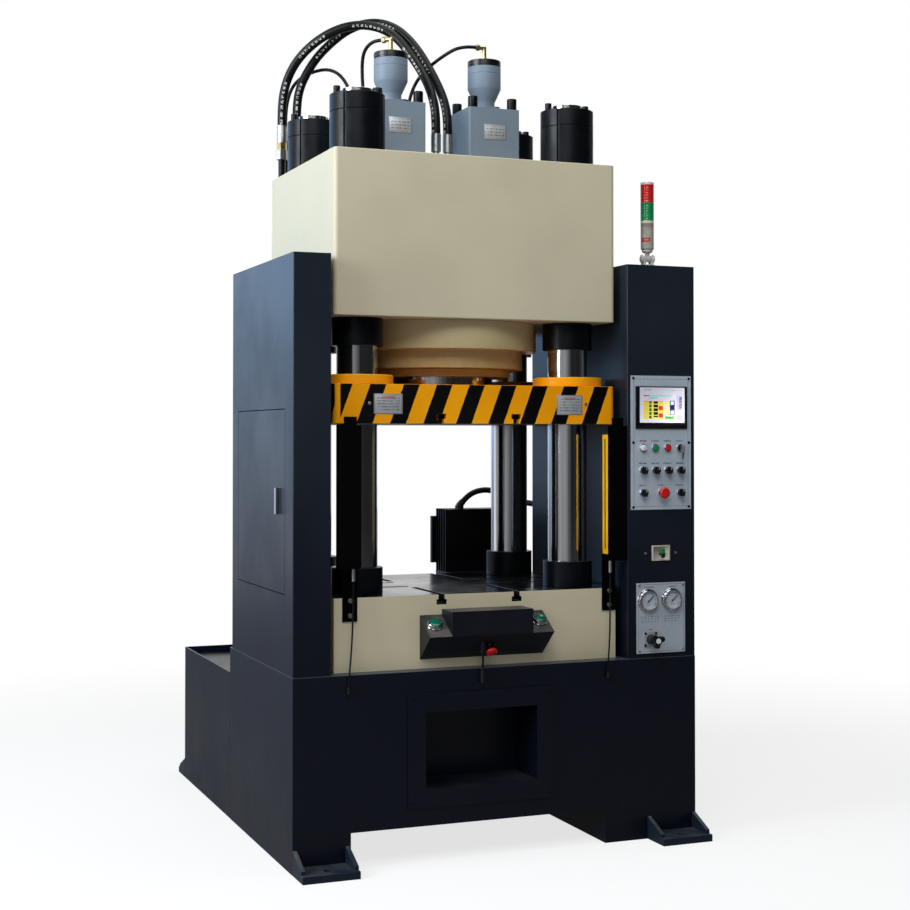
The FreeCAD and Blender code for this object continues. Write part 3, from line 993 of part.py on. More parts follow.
def above_motor(*points):
    """Points counted from the middle of the motor, the back of the base and the motor's foot."""
    return [(f"motor_x + {x}", f"{BACK} + {y} * conduit_y / conduit_route_d",
             f"motor_low + {z}") for x, y, z in points]


conduit = [(f"motor_x - conduit_x + {SLANT} * gland_reach", f"{BACK} + conduit_y",
            f"{MOTOR_TOP} + conduit_gland_h + {SLANT} * gland_reach"),
           *above_motor((-45, 300, 310), (-15, 301, 326), (18, 300, 334), (49, 295, 334),
                        (79, 284, 327), (106, 268, 314), (129, 246, 302), (150, 220, 291),
                        (169, 191, 284), (186, 160, 280), (200, 128, 279), (211, 94, 280),
                        (218, 60, 280), (222, 25, 280)),
           ("conduit_end_x", f"{CAB_BACK} + gland_reach", "base_h + conduit_end_z")]
node("motor_cable", tube("MotorCable", conduit, "conduit_r"))
gland_foot = ("motor_x - conduit_x", f"{BACK} + conduit_y")
glands = [
    fuse("MotorGland",
         rod("MotorGlandFoot", (*gland_foot, MOTOR_TOP), "conduit_gland_r", "conduit_gland_h"),
         ball("MotorGlandBend", (*gland_foot, f"{MOTOR_TOP} + conduit_gland_h"),
              "conduit_r + conduit_wall"),
         rod("MotorGlandEnd", (*gland_foot, f"{MOTOR_TOP} + conduit_gland_h"),
             "conduit_r + conduit_wall",
             "gland_reach", "lean")),
    rod("CabinetGland", ("conduit_end_x", CAB_BACK, "base_h + conduit_end_z"),
        "conduit_gland_r", "gland_reach", "+y")]

# ---------------------------------------------------------------- light curtain posts
bars, brackets, cables = [], [], []
BAR_MID = "(press_x + bar_x)"
bar_back = f"({BED_FRONT} - bar_plate)"
bar_front = f"({BED_FRONT} - bar_plate - bar_deep)"
guard_front = f"({BED_FRONT} - bar_plate - bar_deep - guard_t)"
for side, tag in ((-1, "Left"), (1, "Right")):
    inner = f"({BAR_MID} + {side} * bar_at)"

    def low_x(outward, wide):
        """The low x of a piece that starts at a distance outward of the inner face."""
        return f"{inner} - ({outward}) - ({wide})" if side < 0 else f"{inner} + {outward}"

    bars.append(block("Bar" + tag, (low_x("0", "bar_w"), bar_front, f"{BED_TOP} + bar_low"),
                      "bar_w", "bar_deep", "bar_long"))
    front = block("GuardFront" + tag, (low_x("0", "guard_w"), guard_front,
                  f"{BED_TOP} + guard_low"), "guard_w", "guard_t", "flange_top - guard_low")
    outer = block("GuardOuter" + tag, (low_x("guard_w - guard_t", "guard_t"), guard_front,
                  f"{BED_TOP} + guard_low"), "guard_t", "bar_deep + guard_t",
                  "flange_top - guard_low")
    tab = block("GuardTab" + tag, (low_x("guard_tab_in", "guard_tab_w"), guard_front,
                f"{BED_TOP} + flange_top - past"), "guard_tab_w", "guard_t",
                "guard_top - flange_top + past")
    rib = block("GuardRib" + tag, (low_x("bar_w + fit", "guard_w - bar_w - fit"),
                f"{bar_back} - guard_t", f"{BED_TOP} + guard_low"), "guard_w - bar_w - fit",
                "guard_t + past", "bar_low + bolt_up - guard_low")
    middle = f"({inner} + {side} * bracket_in)"
    plate = block("BracketPlate" + tag, (f"{middle} - bracket_w / 2", bar_back,
                  f"{BED_TOP} - bracket_drop"), "bracket_w", "bar_plate",
                  "bracket_drop + bar_low + bolt_up")
    heads = [rod(f"BracketBolt{tag}{i}", (middle, bar_back,
                 f"{BED_TOP} - bracket_drop + bolt_up + {i} * bolt_pitch"), "bolt_r", "bolt_h",
                 "-y") for i in (0, 1)]
    brackets.append(fuse("Bracket" + tag, front, outer, tab, rib, plate, *heads))
    plug_at = (f"({inner} + {side} * bar_w / 2)", f"({bar_front} + bar_deep / 2)")
    glands.append(rod("Plug" + tag, (*plug_at, f"{BED_TOP} + bar_low - plug_h"), "plug_r",
                      "plug_h"))
    gland_at = (f"({plug_at[0]} - cable_gland_in)", f"({FRONT} - cable_gland_out)")
    glands.append(fuse(
        "Gland" + tag,
        rod("GlandUp" + tag, (*gland_at, "base_h - cable_gland_drop"), "cable_gland_r",
            "cable_gland_h"),
        rod("GlandStub" + tag, (gland_at[0], FRONT, "base_h - cable_gland_drop + cable_gland_r"),
            "cable_gland_r - fit", "cable_gland_out", "-y")))
    start_z = f"({BED_TOP} + bar_low - plug_h)"
    end_z = "(base_h - cable_gland_drop + cable_gland_h)"
    cables.append(tube("SensorCable" + tag, [
        (*plug_at, start_z), (*plug_at, f"{start_z} - 40"),
        (f"{plug_at[0]} - 2", f"{FRONT} + 21", "base_h + 214"),
        (f"{plug_at[0]} - 5", f"{FRONT} + 16", "base_h + 160"),
        (f"{plug_at[0]} - 10", f"{FRONT} + 8", "base_h + 106"),
        (f"{plug_at[0]} - 17", f"{FRONT} - 1", "base_h + 54"),
        (f"{plug_at[0]} - 23", f"{FRONT} - 7", "base_h + 12"),
        (*gland_at, f"{end_z} + 20"), (*gland_at, end_z)], "cable_r"))
node("light_bars", several("LightBars", *bars))
node("bar_brackets", several("BarBrackets", *brackets))
node("sensor_cables", several("SensorCables", *cables))

# ---------------------------------------------------------------- two-hand control box
BOX_MID = "(press_x + box_x)"
BOX_LOW = "(base_h + box_low)"
RISE = "((box_front - box_low) / box_out)"
FALL = "((box_high - box_front) / box_out)"
rise = size_of(RISE)
fall = size_of(FALL)
rise_thick = math.hypot(1, rise)
fall_thick = math.hypot(1, fall)
tip_in = f"((box_high - box_low - sheet * {rise_thick + fall_thick}) / ({RISE} + {FALL}))"
box_outer = padded("BoxOuter", "YZ_Plane", [
    (BED_FRONT, "base_h + box_low"), (BED_FRONT, "base_h + box_high"),
    (f"{BED_FRONT} - box_out", "base_h + box_front")], "box_w",
    (f"{BOX_MID} - box_w / 2", "0", "0"))
box_inner = padded("BoxInner", "YZ_Plane", [
    (f"{BED_FRONT} - sheet", f"base_h + box_low + sheet * ({RISE} + {rise_thick})"),
    (f"{BED_FRONT} - sheet", f"base_h + box_high - sheet * ({FALL} + {fall_thick})"),
    (f"{BED_FRONT} - {tip_in}", f"base_h + box_low + {RISE} * {tip_in} + sheet * {rise_thick}")],
    "box_w - 2 * sheet", (f"{BOX_MID} - box_w / 2 + sheet", "0", "0"))
lid_outer = block("BoxLidOuter", (f"{BOX_MID} - cover_w / 2", f"{BED_FRONT} - box_out",
                  "base_h + box_front"), "cover_w", "box_out", "cover_top - box_front")
lid_inner = block("BoxLidInner", (f"{BOX_MID} - cover_w / 2 + sheet",
                  f"{BED_FRONT} - box_out + sheet", "base_h + box_front + 2 * sheet"),
                  "cover_w - 2 * sheet", "box_out - 2 * sheet",
                  "cover_top - box_front - 3 * sheet")
boss = rod("BoxBoss", (f"{BOX_MID} - box_boss_x", f"{BED_FRONT} - box_boss_out",
           "base_h + box_boss_low"), "box_boss_r", f"{RISE} * box_boss_out")
uphill = Rotation(Vector(1, 0, 0), math.degrees(math.atan(fall)))
downhill = Rotation(Vector(1, 0, 0), 180 - math.degrees(math.atan(rise)))
half_way = f"({BED_FRONT} - box_out / 2)"
PALM_BODY = [("0", "-palm_deep"), ("palm_body_r", "-palm_deep"), ("palm_body_r", "-sheet"),
             ("palm_hole - fit", "-sheet"), ("palm_hole - fit", "0"), ("palm_bezel_r", "0"),
             ("palm_bezel_r", "palm_bezel_h"), ("palm_r + run", "palm_bezel_h"),
             ("palm_r + run", "palm_floor"), ("palm_stem_r + run", "palm_floor"),
             ("palm_stem_r + run", "-palm_stem_deep"), ("0", "-palm_stem_deep")]
PALM_END = "(-palm_stem_deep + push_travel + 2 * spare)"
PALM_LOW = "(palm_floor + push_travel + spare)"
PALM = [("0", PALM_END), ("palm_stem_r", PALM_END), ("palm_stem_r", PALM_LOW),
        ("palm_r", PALM_LOW), ("palm_r", "palm_bezel_h + palm_h"), ("0", "palm_bezel_h + palm_h")]
box_drills = []


def slanted_drill(name, at, rotation, radius):
    """A drill through the box's sheet, centred on a spot of a slanted face."""
    deep = rotation.multVec(Vector(0, 0, size_of("sheet")))
    start = (at[0], f"{at[1]} - {deep.y}", f"{at[2]} - {deep.z}")
    return part("Cylinder", name, start, rotation, Radius=radius, Height="2 * sheet")


palm_z = "(base_h + (box_high + box_front) / 2)"
for side, tag in ((-1, "left"), (1, "right")):
    spot = (f"({BOX_MID} + {side} * palm_at)", half_way, palm_z)
    box_drills.append(slanted_drill("PalmDrill" + tag, spot, uphill, "palm_hole"))
    bodies.append(turned("PalmBody" + tag, PALM_BODY, spot, uphill))
    node("palm_button_" + tag, turned("Palm" + tag, PALM, spot, uphill))
stop_at = (f"({BOX_MID} + stop_x)", half_way, "(base_h + (box_low + box_front) / 2)")
box_drills.append(slanted_drill("BoxStopDrill", stop_at, downhill, "button_hole"))
bodies.append(turned("BoxStopBody", SWITCH, stop_at, downhill))
nodes["switch_bodies"].Links = bodies
node("box_estop", turned("BoxStop", STOP, stop_at, downhill))
node("hand_box", fuse("HandBox", cut(
    "BoxShell", fuse("BoxSolid", box_outer, lid_outer), fuse("BoxRoom", box_inner, lid_inner),
    *box_drills), boss))
boss_x = f"({BOX_MID} - box_boss_x)"
gland_y = f"({FRONT} - box_gland_out)"
gland_top = "(base_h - box_gland_drop + box_gland_long)"
glands.append(fuse(
    "BoxGland",
    rod("BoxGlandUp", (boss_x, gland_y, "base_h - box_gland_drop"), "box_gland_r",
        "box_gland_long"),
    rod("BoxGlandStub", (boss_x, FRONT, "base_h - box_gland_drop + box_gland_r"),
        "box_gland_r - fit", "box_gland_out", "-y")))
node("box_cable", tube("BoxCable", [
    (boss_x, f"{BED_FRONT} - box_boss_out", "base_h + box_boss_low"),
    (boss_x, f"{BED_FRONT} - box_boss_out", "base_h + box_boss_low - 12"),
    (f"{boss_x} + 1.4", f"{BED_FRONT} - box_boss_out", "base_h + box_boss_low - 26"),
    (boss_x, gland_y, f"{gland_top} + 12"),
    (boss_x, gland_y, gland_top)], "box_cable_r"))
node("cable_glands", several("CableGlands", *glands))

# four screws hold the tray in the base
tray_drills = []
for i in (-1, 1):
    for j in (-1, 1):
        x = f"(recess_x + {i} * (recess_w / 2 + recess_rim - 2 * panel_screw_in))"
        z = f"(recess_low + recess_h / 2 + {j} * (recess_h / 2 + recess_rim - 2 * panel_screw_in))"
        tray_drills.append(small_screw(f"TrayScrew{i + 1}{j + 1}", x, z,
                                       f"({FRONT} - recess_sheet)"))
for label in ("base_frame", "recess_tray"):
    node(label, cut(label.title().replace("_", "") + "Drilled", nodes[label], *tray_drills))
node("cap_screws", several("CapScrews", *screws))

# ---------------------------------------------------------------- check and write
doc.recompute()
faulty = [item.Name for item in doc.Objects if {"Invalid", "Error"} & set(item.State)]
if faulty:
    raise RuntimeError(f"these did not compute: {faulty}")
os.makedirs("parts", exist_ok=True)
for label, thing in nodes.items():
    thing.Label = label
    shape = thing.Shape
    if shape.isNull() or not shape.isValid():
        raise RuntimeError(f"{label} has no sound shape")
    shape.exportStep(f"parts/{label}.step")
    span = shape.BoundBox
    print(f"{label}: {len(shape.Solids)} solids, {shape.Volume / 1e6:.2f} litres, "
          f"x {span.XMin:.1f}..{span.XMax:.1f}, y {span.YMin:.1f}..{span.YMax:.1f}, "
          f"z {span.ZMin:.1f}..{span.ZMax:.1f}")
print(f"{len(nodes)} nodes written")
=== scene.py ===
# %% [markdown]
# A four-column hydraulic press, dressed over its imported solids.
# The solids give every size and place, so this file only adds what the eye looks for: paint,
# ground steel, chrome, rubber, dials, screws and softened edges. All lengths are metres.

# %% Load the frame
import bpy
import bmesh
import json
import math
from mathutils import Matrix, Vector


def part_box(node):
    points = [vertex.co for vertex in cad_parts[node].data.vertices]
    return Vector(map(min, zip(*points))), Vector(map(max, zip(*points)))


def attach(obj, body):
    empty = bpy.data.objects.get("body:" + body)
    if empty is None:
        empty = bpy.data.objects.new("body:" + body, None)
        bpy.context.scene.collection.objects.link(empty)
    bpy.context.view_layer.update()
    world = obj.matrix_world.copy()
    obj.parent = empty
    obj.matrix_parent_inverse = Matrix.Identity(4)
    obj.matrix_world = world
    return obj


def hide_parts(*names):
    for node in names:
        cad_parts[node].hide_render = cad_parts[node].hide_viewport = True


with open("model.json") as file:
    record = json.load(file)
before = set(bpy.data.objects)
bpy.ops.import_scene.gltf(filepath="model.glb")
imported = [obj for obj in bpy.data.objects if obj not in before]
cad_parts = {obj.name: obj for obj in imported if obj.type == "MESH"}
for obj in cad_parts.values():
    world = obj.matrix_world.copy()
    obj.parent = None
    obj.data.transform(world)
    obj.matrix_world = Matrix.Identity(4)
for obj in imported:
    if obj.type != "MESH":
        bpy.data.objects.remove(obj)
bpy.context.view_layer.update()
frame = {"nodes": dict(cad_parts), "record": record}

NODES = frame["nodes"]
BODY_OF = {label: body for body, labels in frame["record"]["behaviour"]["bodies"].items()
           for label in labels}
WHITE = (1.0, 1.0, 1.0, 1.0)
UPWARD = (0, 0, 1)
FRONTWARD = (0, -1, 0)
bpy.ops.object.select_all(action="DESELECT")
print("solids loaded:", len(NODES))

# %% [markdown]
# The camera stands where the photographer stood: a little left of the press, at chest height,
# with a long lens. It could be set by eye. Its place and direction are worked out from the
# straight edges of crown, bed and base instead, so that every edge falls where the picture has
# it. The picture was cropped off-centre, which is what the two shifts repeat.

# %% Camera
CAMERA_AT = Vector((-2.2045, -5.9155, 1.4323))
CAMERA_WAY = Vector((0.37259, 0.92785, 0.01670))
lens_data = bpy.data.cameras.new("Camera")
lens_data.sensor_width = 36
lens_data.lens = 63.82
lens_data.shift_x = -0.0069
lens_data.shift_y = -0.0510
lens_data.clip_end = 200
camera = bpy.data.objects.new("Camera", lens_data)
bpy.context.scene.collection.objects.link(camera)
camera.location = CAMERA_AT
camera.rotation_mode = "QUATERNION"
camera.rotation_quaternion = CAMERA_WAY.to_track_quat("-Z", "Y")
bpy.context.scene.camera = camera
print("camera set at", tuple(CAMERA_AT))

# %% [markdown]
# Every finish below is a sum of masks. Made node by node, one sum takes four lines, and nobody
# sees what it says. So a Wire wraps one socket and turns each operator into a Math node, Nodes
# makes any other node with a single call, and a Finish holds one material with its shader.

# %% Wires and finishes
def math_method(operation, turned=False):
    """An operator that puts a wire and a number or wire into one Math node."""
    def method(self, other=None):
        return self.maths(operation, *((other, self) if turned else (self, other)))
    return method


class Wire:
    """One output socket that adds, subtracts, multiplies, divides and compares."""

    def __init__(self, tree, socket):
        self.tree = tree
        self.socket = socket

    def maths(self, operation, *values):
        node = self.tree.nodes.new("ShaderNodeMath")
        node.operation = operation
        for place, value in enumerate(values):
            if isinstance(value, Wire):
                self.tree.links.new(value.socket, node.inputs[place])
            elif value is not None:
                node.inputs[place].default_value = value
        return Wire(self.tree, node.outputs[0])

    __add__ = math_method("ADD")
    __sub__ = math_method("SUBTRACT")
    __rsub__ = math_method("SUBTRACT", turned=True)
    __mul__ = math_method("MULTIPLY")
    __truediv__ = math_method("DIVIDE")
    __gt__ = math_method("GREATER_THAN")
    __lt__ = math_method("LESS_THAN")
    __abs__ = math_method("ABSOLUTE")
    fraction = math_method("FRACT")
    power = math_method("POWER")
    most = math_method("MAXIMUM")

    def between(self, low, high):
        return (self > low) * (self < high)

    def ramp(self, low, high, first=0.0, last=1.0):
        """Rises smoothly from first to last as the value goes from low to high."""
        node = self.tree.nodes.new("ShaderNodeMapRange")
        node.interpolation_type = "SMOOTHSTEP"
        self.tree.links.new(self.socket, node.inputs["Value"])
        for name, value in (("From Min", low), ("From Max", high), ("To Min", first),
                            ("To Max", last)):
            node.inputs[name].default_value = value
        return Wire(self.tree, node.outputs["Result"])


def shade(red, green, blue):
    """A colour given as it looks on a screen, 0 to 255, in the linear values that lights use."""
    return tuple(((c / 255) / 12.92 if c < 11 else ((c / 255 + 0.055) / 1.055) ** 2.4)
                 for c in (red, green, blue)) + (1.0,)


def scaled(colour, share):
    """The same colour, darker or lighter."""
    return tuple(min(c * share, 1.0) for c in colour[:3]) + (1.0,)


class Nodes:
    """One node tree, in which a single call makes a node, sets it and links it."""

    def __init__(self, tree):
        self.tree = tree

    def node(self, kind, settings=None, out=0, **sockets):
        """Sockets go by name, with _ for a space, or by number, such as _0."""
        made = self.tree.nodes.new(kind)
        for name, value in (settings or {}).items():
            setattr(made, name, value)
        for name, value in sockets.items():
            place = int(name[1:]) if name[1:].isdigit() else name.replace("_", " ")
            if isinstance(value, Wire):
                self.tree.links.new(value.socket, made.inputs[place])
            else:
                made.inputs[place].default_value = value
        return Wire(self.tree, made.outputs[out])

    def split(self, vector):
        made = self.tree.nodes.new("ShaderNodeSeparateXYZ")
        self.tree.links.new(vector.socket, made.inputs[0])
        return [Wire(self.tree, made.outputs[i]) for i in range(3)]

    def mix(self, amount, first, second):
        return self.node("ShaderNodeMix", {"data_type": "RGBA"}, out=2, _0=amount, _6=first,
                         _7=second)

    def mottled(self, cloud, first, second):
        """Two close tones in soft clouds."""
        return self.mix(cloud.ramp(0.3, 0.7), first, second)

    def ray(self, kind):
        """1 for rays of this kind, such as Glossy, and 0 for all others."""
        return self.node("ShaderNodeLightPath", out=f"Is {kind} Ray")

    def looked_at(self):
        """1 for what the camera sees straight or through glass."""
        return self.ray("Camera").most(self.ray("Transmission"))


class Finish(Nodes):
    """One material: coordinates, masks and a Principled shader to send them to."""

    def __init__(self, name, **fixed):
        self.material = bpy.data.materials.new(name)
        self.material.use_nodes = True
        super().__init__(self.material.node_tree)
        self.shader = self.tree.nodes["Principled BSDF"]
        for socket, value in fixed.items():
            self.shader.inputs[socket.replace("_", " ")].default_value = value
        self.spot = self.node("ShaderNodeTexCoord", out="Object")
        self.x, self.y, self.z = self.split(self.spot)

    def normal(self):
        """The face's own direction, split in three."""
        return self.split(self.node("ShaderNodeNewGeometry", out="Normal"))

    def stretched(self, x, y, z):
        return self.node("ShaderNodeMapping", Vector=self.spot, Scale=(x, y, z))

    def noise(self, scale, detail=3.0, rough=0.55, where=None):
        return self.node("ShaderNodeTexNoise", out="Fac", Vector=where or self.spot,
                         Scale=scale, Detail=detail, Roughness=rough)

    def bump(self, height, depth, strength=0.5):
        """Turns a height, 0 to 1, into relief that is so many metres deep."""
        return self.node("ShaderNodeBump", out="Normal", Height=height, Distance=depth,
                         Strength=strength)

    def send(self, **ends):
        for name, value in ends.items():
            self.tree.links.new(value.socket, self.shader.inputs[name.replace("_", " ")])
        return self.material

    def moulded(self, tone, cloud, low, high, grain=300.0, depth=0.0001):
        """Ends a plastic: gloss that varies in clouds from low to high, and a fine grain."""
        return self.send(Base_Color=tone, Roughness=cloud.ramp(0.3, 0.7, low, high),
                         Normal=self.bump(self.noise(grain, 2.0), depth, 0.3))


print("shader helpers ready")

# %% [markdown]
# The press stands in a plain bright hall. A big soft lamp on the left makes the left sides
# pale, as in the photograph; the front gets only a weak fill, so the dark enamel stays dark.
# Shiny metal shows what stands round it. A picture of a hall could be wrapped round the scene;
# a few ramps along the three directions do the same here and can be tuned one by one: white
# behind the press, half as bright on the left, bluish between the two, and dim behind the
# camera.

# %% Room and lamps
room = bpy.data.worlds.new("Room")
bpy.context.scene.world = room
room.use_nodes = True
room.node_tree.nodes.clear()
sky = Nodes(room.node_tree)
aside, behind, above = sky.split(sky.node("ShaderNodeTexCoord", out="Generated"))
glow = behind.ramp(0.1, 0.55, 0.02, 1.0).most(aside.ramp(-0.95, 0.15, 0.42, 0.0))
haze = behind.ramp(0.6, 0.8) * aside.ramp(-0.45, 0.0, 1.0, 0.0)
tint = sky.mix(above.ramp(-0.09, 0.15), (0.20, 0.20, 0.24, 1.0), (0.72, 1.45, 2.45, 1.0))
fill_light = sky.node("ShaderNodeBackground", Color=(0.92, 0.95, 1.0, 1.0), Strength=0.18)
seen_by_metal = sky.node("ShaderNodeBackground", Color=sky.mix(haze, glow, tint))
backdrop = sky.node("ShaderNodeBackground", Color=WHITE)
lit = sky.node("ShaderNodeMixShader", _0=sky.ray("Glossy"), _1=fill_light, _2=seen_by_metal)
seen = sky.node("ShaderNodeMixShader", _0=sky.looked_at(), _1=lit, _2=backdrop)
sky.tree.links.new(seen.socket, sky.tree.nodes.new("ShaderNodeOutputWorld").inputs[0])


def lamp(name, at, target, wide, tall, watts, tint=WHITE):
    """A soft rectangular lamp that faces its target."""
    data = bpy.data.lights.new(name, "AREA")
    data.shape = "RECTANGLE"
    data.size = wide
    data.size_y = tall
    data.energy = watts
    data.color = tint[:3]
    thing = bpy.data.objects.new(name, data)
    bpy.context.scene.collection.objects.link(thing)
    thing.location = at
    thing.rotation_mode = "QUATERNION"
    thing.rotation_quaternion = (Vector(target) - Vector(at)).to_track_quat("-Z", "Y")


lamp("LeftSoftbox", (-6.0, -1.2, 3.6), (0, -0.2, 1.5), 3.2, 3.6, 450, (0.88, 0.94, 1.0))
lamp("FrontFill", (-1.8, -4.6, 5.2), (0, -0.5, 1.6), 3.4, 2.4, 150)
lamp("TopLamp", (0.5, -1.0, 6.4), (0, 0, 1.4), 3.5, 3.0, 110)
print("room lit")

# %% [markdown]
# The floor is a plain pale one without a horizon. A white floor would throw so much light up
# that the dark base would look grey. So it is lit like any surface near the press and fades to
# the backdrop's white further out, and metal and enamel see it darker than the camera does.

# %% Floor
bpy.ops.mesh.primitive_circle_add(vertices=64, radius=9, fill_type="NGON", location=(0, 0, 0))
floor = bpy.context.object
floor.name = "Floor"
ground = Finish("PaleFloor", Roughness=0.9, Base_Color=(0.86, 0.86, 0.87, 1.0),
                Specular_IOR_Level=0.1)
white = ground.node("ShaderNodeEmission", Color=WHITE, Strength=1.0)
dim = ground.node("ShaderNodeEmission", Color=WHITE, Strength=0.1)
reach = (ground.x * ground.x + ground.y * ground.y).power(0.5)
fade = reach.ramp(1.6, 4.5, 0.75, 1.0)
quiet = ground.node("ShaderNodeMixShader", _1=Wire(ground.tree, ground.shader.outputs[0]),
                    _0=ground.ray("Glossy") * 0.85 + ground.ray("Diffuse") * 0.7, _2=dim)
blend = ground.node("ShaderNodeMixShader", _0=ground.looked_at() * fade, _1=quiet, _2=white)
ground.tree.links.new(blend.socket, ground.tree.nodes["Material Output"].inputs[0])
floor.data.materials.append(ground.material)
bpy.context.scene.view_settings.view_transform = "Standard"
print("floor laid")

# %% [markdown]
# Sharp steel edges never look real: each one is broken by a file or softened by paint, and a
# thin highlight runs along it. Rounding every edge of the solids would make them heavy. So each
# solid is copied, its loose triangles are merged into whole faces, and a modifier bevels every
# hard edge with two or three strips. The normals are then weighted, so flat faces stay flat.

# %% Copies with softened edges
SHARP = math.radians(32)
FLAT = math.radians(0.6)
SAME_SPOT = 0.00002


def only(piece):
    """Selects one piece and makes it the active one."""
    bpy.ops.object.select_all(action="DESELECT")
    piece.select_set(True)
    bpy.context.view_layer.objects.active = piece


def applied(piece, kind, **settings):
    """Adds a modifier to the selected piece, sets it and applies it."""
    step = piece.modifiers.new(kind.title(), kind)
    for name, value in settings.items():
        setattr(step, name, value)
    bpy.ops.object.modifier_apply(modifier=step.name)


def eased(label, width, steps=2):
    """A copy of a solid with merged faces and bevelled edges, which stands for the solid."""
    piece = bpy.data.objects.new(label + "_eased", NODES[label].data.copy())
    bpy.context.scene.collection.objects.link(piece)
    only(piece)
    bpy.ops.object.mode_set(mode="EDIT")
    bpy.ops.mesh.select_all(action="SELECT")
    bpy.ops.mesh.remove_doubles(threshold=SAME_SPOT)
    bpy.ops.mesh.dissolve_limited(angle_limit=FLAT)
    bpy.ops.object.mode_set(mode="OBJECT")
    applied(piece, "BEVEL", width=width, segments=steps, limit_method="ANGLE",
            angle_limit=SHARP)
    bpy.ops.object.shade_smooth_by_angle(angle=math.radians(40))
    applied(piece, "WEIGHTED_NORMAL", keep_sharp=True, weight=80)
    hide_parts(label)
    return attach(piece, BODY_OF[label])


print("edge helpers ready")

# %% [markdown]
# One solid can hold several real pieces of different metals, because pieces that move together
# share a file. They could be cut apart, but then each would need a name and a place of its own.
# It is enough to give each lump of faces that hang together its own material, told by its box.

# %% Materials on pieces
def islands(faces):
    """Yields each group of faces that hang together."""
    waiting = set(faces)
    while waiting:
        island, border = [], [waiting.pop()]
        while border:
            face = border.pop()
            island.append(face)
            for line in face.edges:
                for other in line.link_faces:
                    if other in waiting:
                        waiting.remove(other)
                        border.append(other)
        yield island


def dress(piece, *materials, choose=None):
    """Gives a piece its materials; choose picks one by the corners of each island's box."""
    piece.data.materials.clear()
    for material in materials:
        piece.data.materials.append(material)
    if choose:
        mesh = bmesh.new()
        mesh.from_mesh(piece.data)
        for island in islands(mesh.faces):
            spots = [corner.co for face in island for corner in face.verts]
            low = Vector([min(spot[i] for spot in spots) for i in range(3)])
            high = Vector([max(spot[i] for spot in spots) for i in range(3)])
            index = choose(low, high)
            for face in island:
                face.material_index = index
        mesh.to_mesh(piece.data)
        mesh.free()
    return piece


def repaint(piece, material, rule):
    """A last material on the faces whose middle fits a rule."""
    piece.data.materials.append(material)
    last = len(piece.data.materials) - 1
    for face in piece.data.polygons:
        if rule(face.center):
            face.material_index = last


print("paint helpers ready")

# %% [markdown]
# Enamel is paint sprayed in one coat and baked. It has a faint orange-peel relief, it is a
# little dull where hands and rags have rubbed it, and dust lies on what faces up. Some light
# and shade is painted in as well: a pale sheen on the hand box's upward slopes, for the room
# they reflect, a darker tone towards the floor on the navy, a pale highlight along the base's
# top edge and a dark line of shadow in the gap where the base meets the tank. The lower end of
# the cylinder is tinted warm, partly by oil and partly as a painted reflection of the yellow
# slide below it. One flat colour would look like plastic, and a painted picture would need
# every part unwrapped. Noise in the part's own coordinates needs neither, and one function
# serves all the colours.

# %% Painted finishes
SHADED_GAP_HALF_WIDTH = 0.007
BASE_BACK, BASE_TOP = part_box("base_frame")[1].yz


def enamel(name, colour, roughness, dust=0.25, gloss=0.35, wear=1.0, stain=None,
           seam_highlight=None, low=None, join=None):
    """Baked paint of one colour, with as much dust and as many streaks and scratches.

    stain is the range of heights over which a warm tint fades out, partly oil and partly a
    painted reflection of the yellow slide below. The seam range gives the heights of a pale line
    of painted highlight along the base's top edge, low a darker colour towards the floor that is
    painted shade for the lower parts, and join the Y where base meets tank, whose gap is a dark
    line of painted shadow. Where the dust share is high, as on the hand box, the pale tone on
    upward faces is also a painted sheen.
    """
    paint = Finish(name, Roughness=roughness, Specular_IOR_Level=gloss)
    broad = paint.noise(2.3, 4.0)
    tone = paint.mottled(broad, scaled(colour, 0.95), scaled(colour, 1.05))
    # Painted shade: towards the floor the colour runs down to the low tone, as lower parts get
    # less light.
    if low:
        tone = paint.mix(paint.z.ramp(0.5, 1.7), low, tone)
    up = paint.normal()[2].ramp(0.5, 0.98)
    # Pale tone on upward faces: dust, and where the dust share is high, a painted sheen of the
    # room.
    settled = up * paint.noise(5.0, 5.0).ramp(0.3, 0.75) * dust
    tone = paint.mix(settled, tone, shade(176, 170, 158))
    streak = paint.noise(6.0, 4.0, where=paint.stretched(6.0, 6.0, 0.5)).ramp(0.6, 0.8)
    tone = paint.mix(streak * (0.05 * wear), tone, shade(92, 88, 82))
    scratch = paint.noise(9.0, 8.0, 0.8, where=paint.stretched(1.0, 1.0, 9.0)).ramp(0.70, 0.76)
    tone = paint.mix(scratch * (0.10 * wear), tone, shade(150, 150, 148))
    dull = broad.ramp(0.35, 0.75, roughness * 0.85, roughness * 1.25) + settled * 0.3
    # Warm tint over the stain's heights: partly oil, partly a painted reflection of the yellow
    # slide.
    if stain:
        oil_and_reflection = paint.z.ramp(*stain, 0.6, 0.08) * paint.noise(38.0).ramp(0.2, 0.7, 0.6, 1.0)
        tone = paint.mix(oil_and_reflection, tone, shade(172, 140, 74))
    # Painted highlight: a pale line along the base's top edge, where the edge catches the light.
    if seam_highlight:
        tone = paint.mix(paint.z.between(*seam_highlight) * 0.6, tone, shade(74, 84, 98))
    relief = paint.noise(420.0, 2.0) + broad * 6.0
    # Painted shadow: a dark broken line in the gap where base meets tank, with a groove in relief.
    if join:
        shaded_gap = paint.y.between(join - SHADED_GAP_HALF_WIDTH, join + SHADED_GAP_HALF_WIDTH) * (paint.z < BASE_TOP - 0.02)
        shaded_gap = shaded_gap * paint.noise(9.0).ramp(0.35, 0.45)
        tone = paint.mix(shaded_gap * 0.9, tone, shade(3, 4, 7))
        relief = relief - shaded_gap * 30.0
    return paint.send(Base_Color=tone, Roughness=dull,
                      Normal=paint.bump(relief, 0.00025, 0.35))


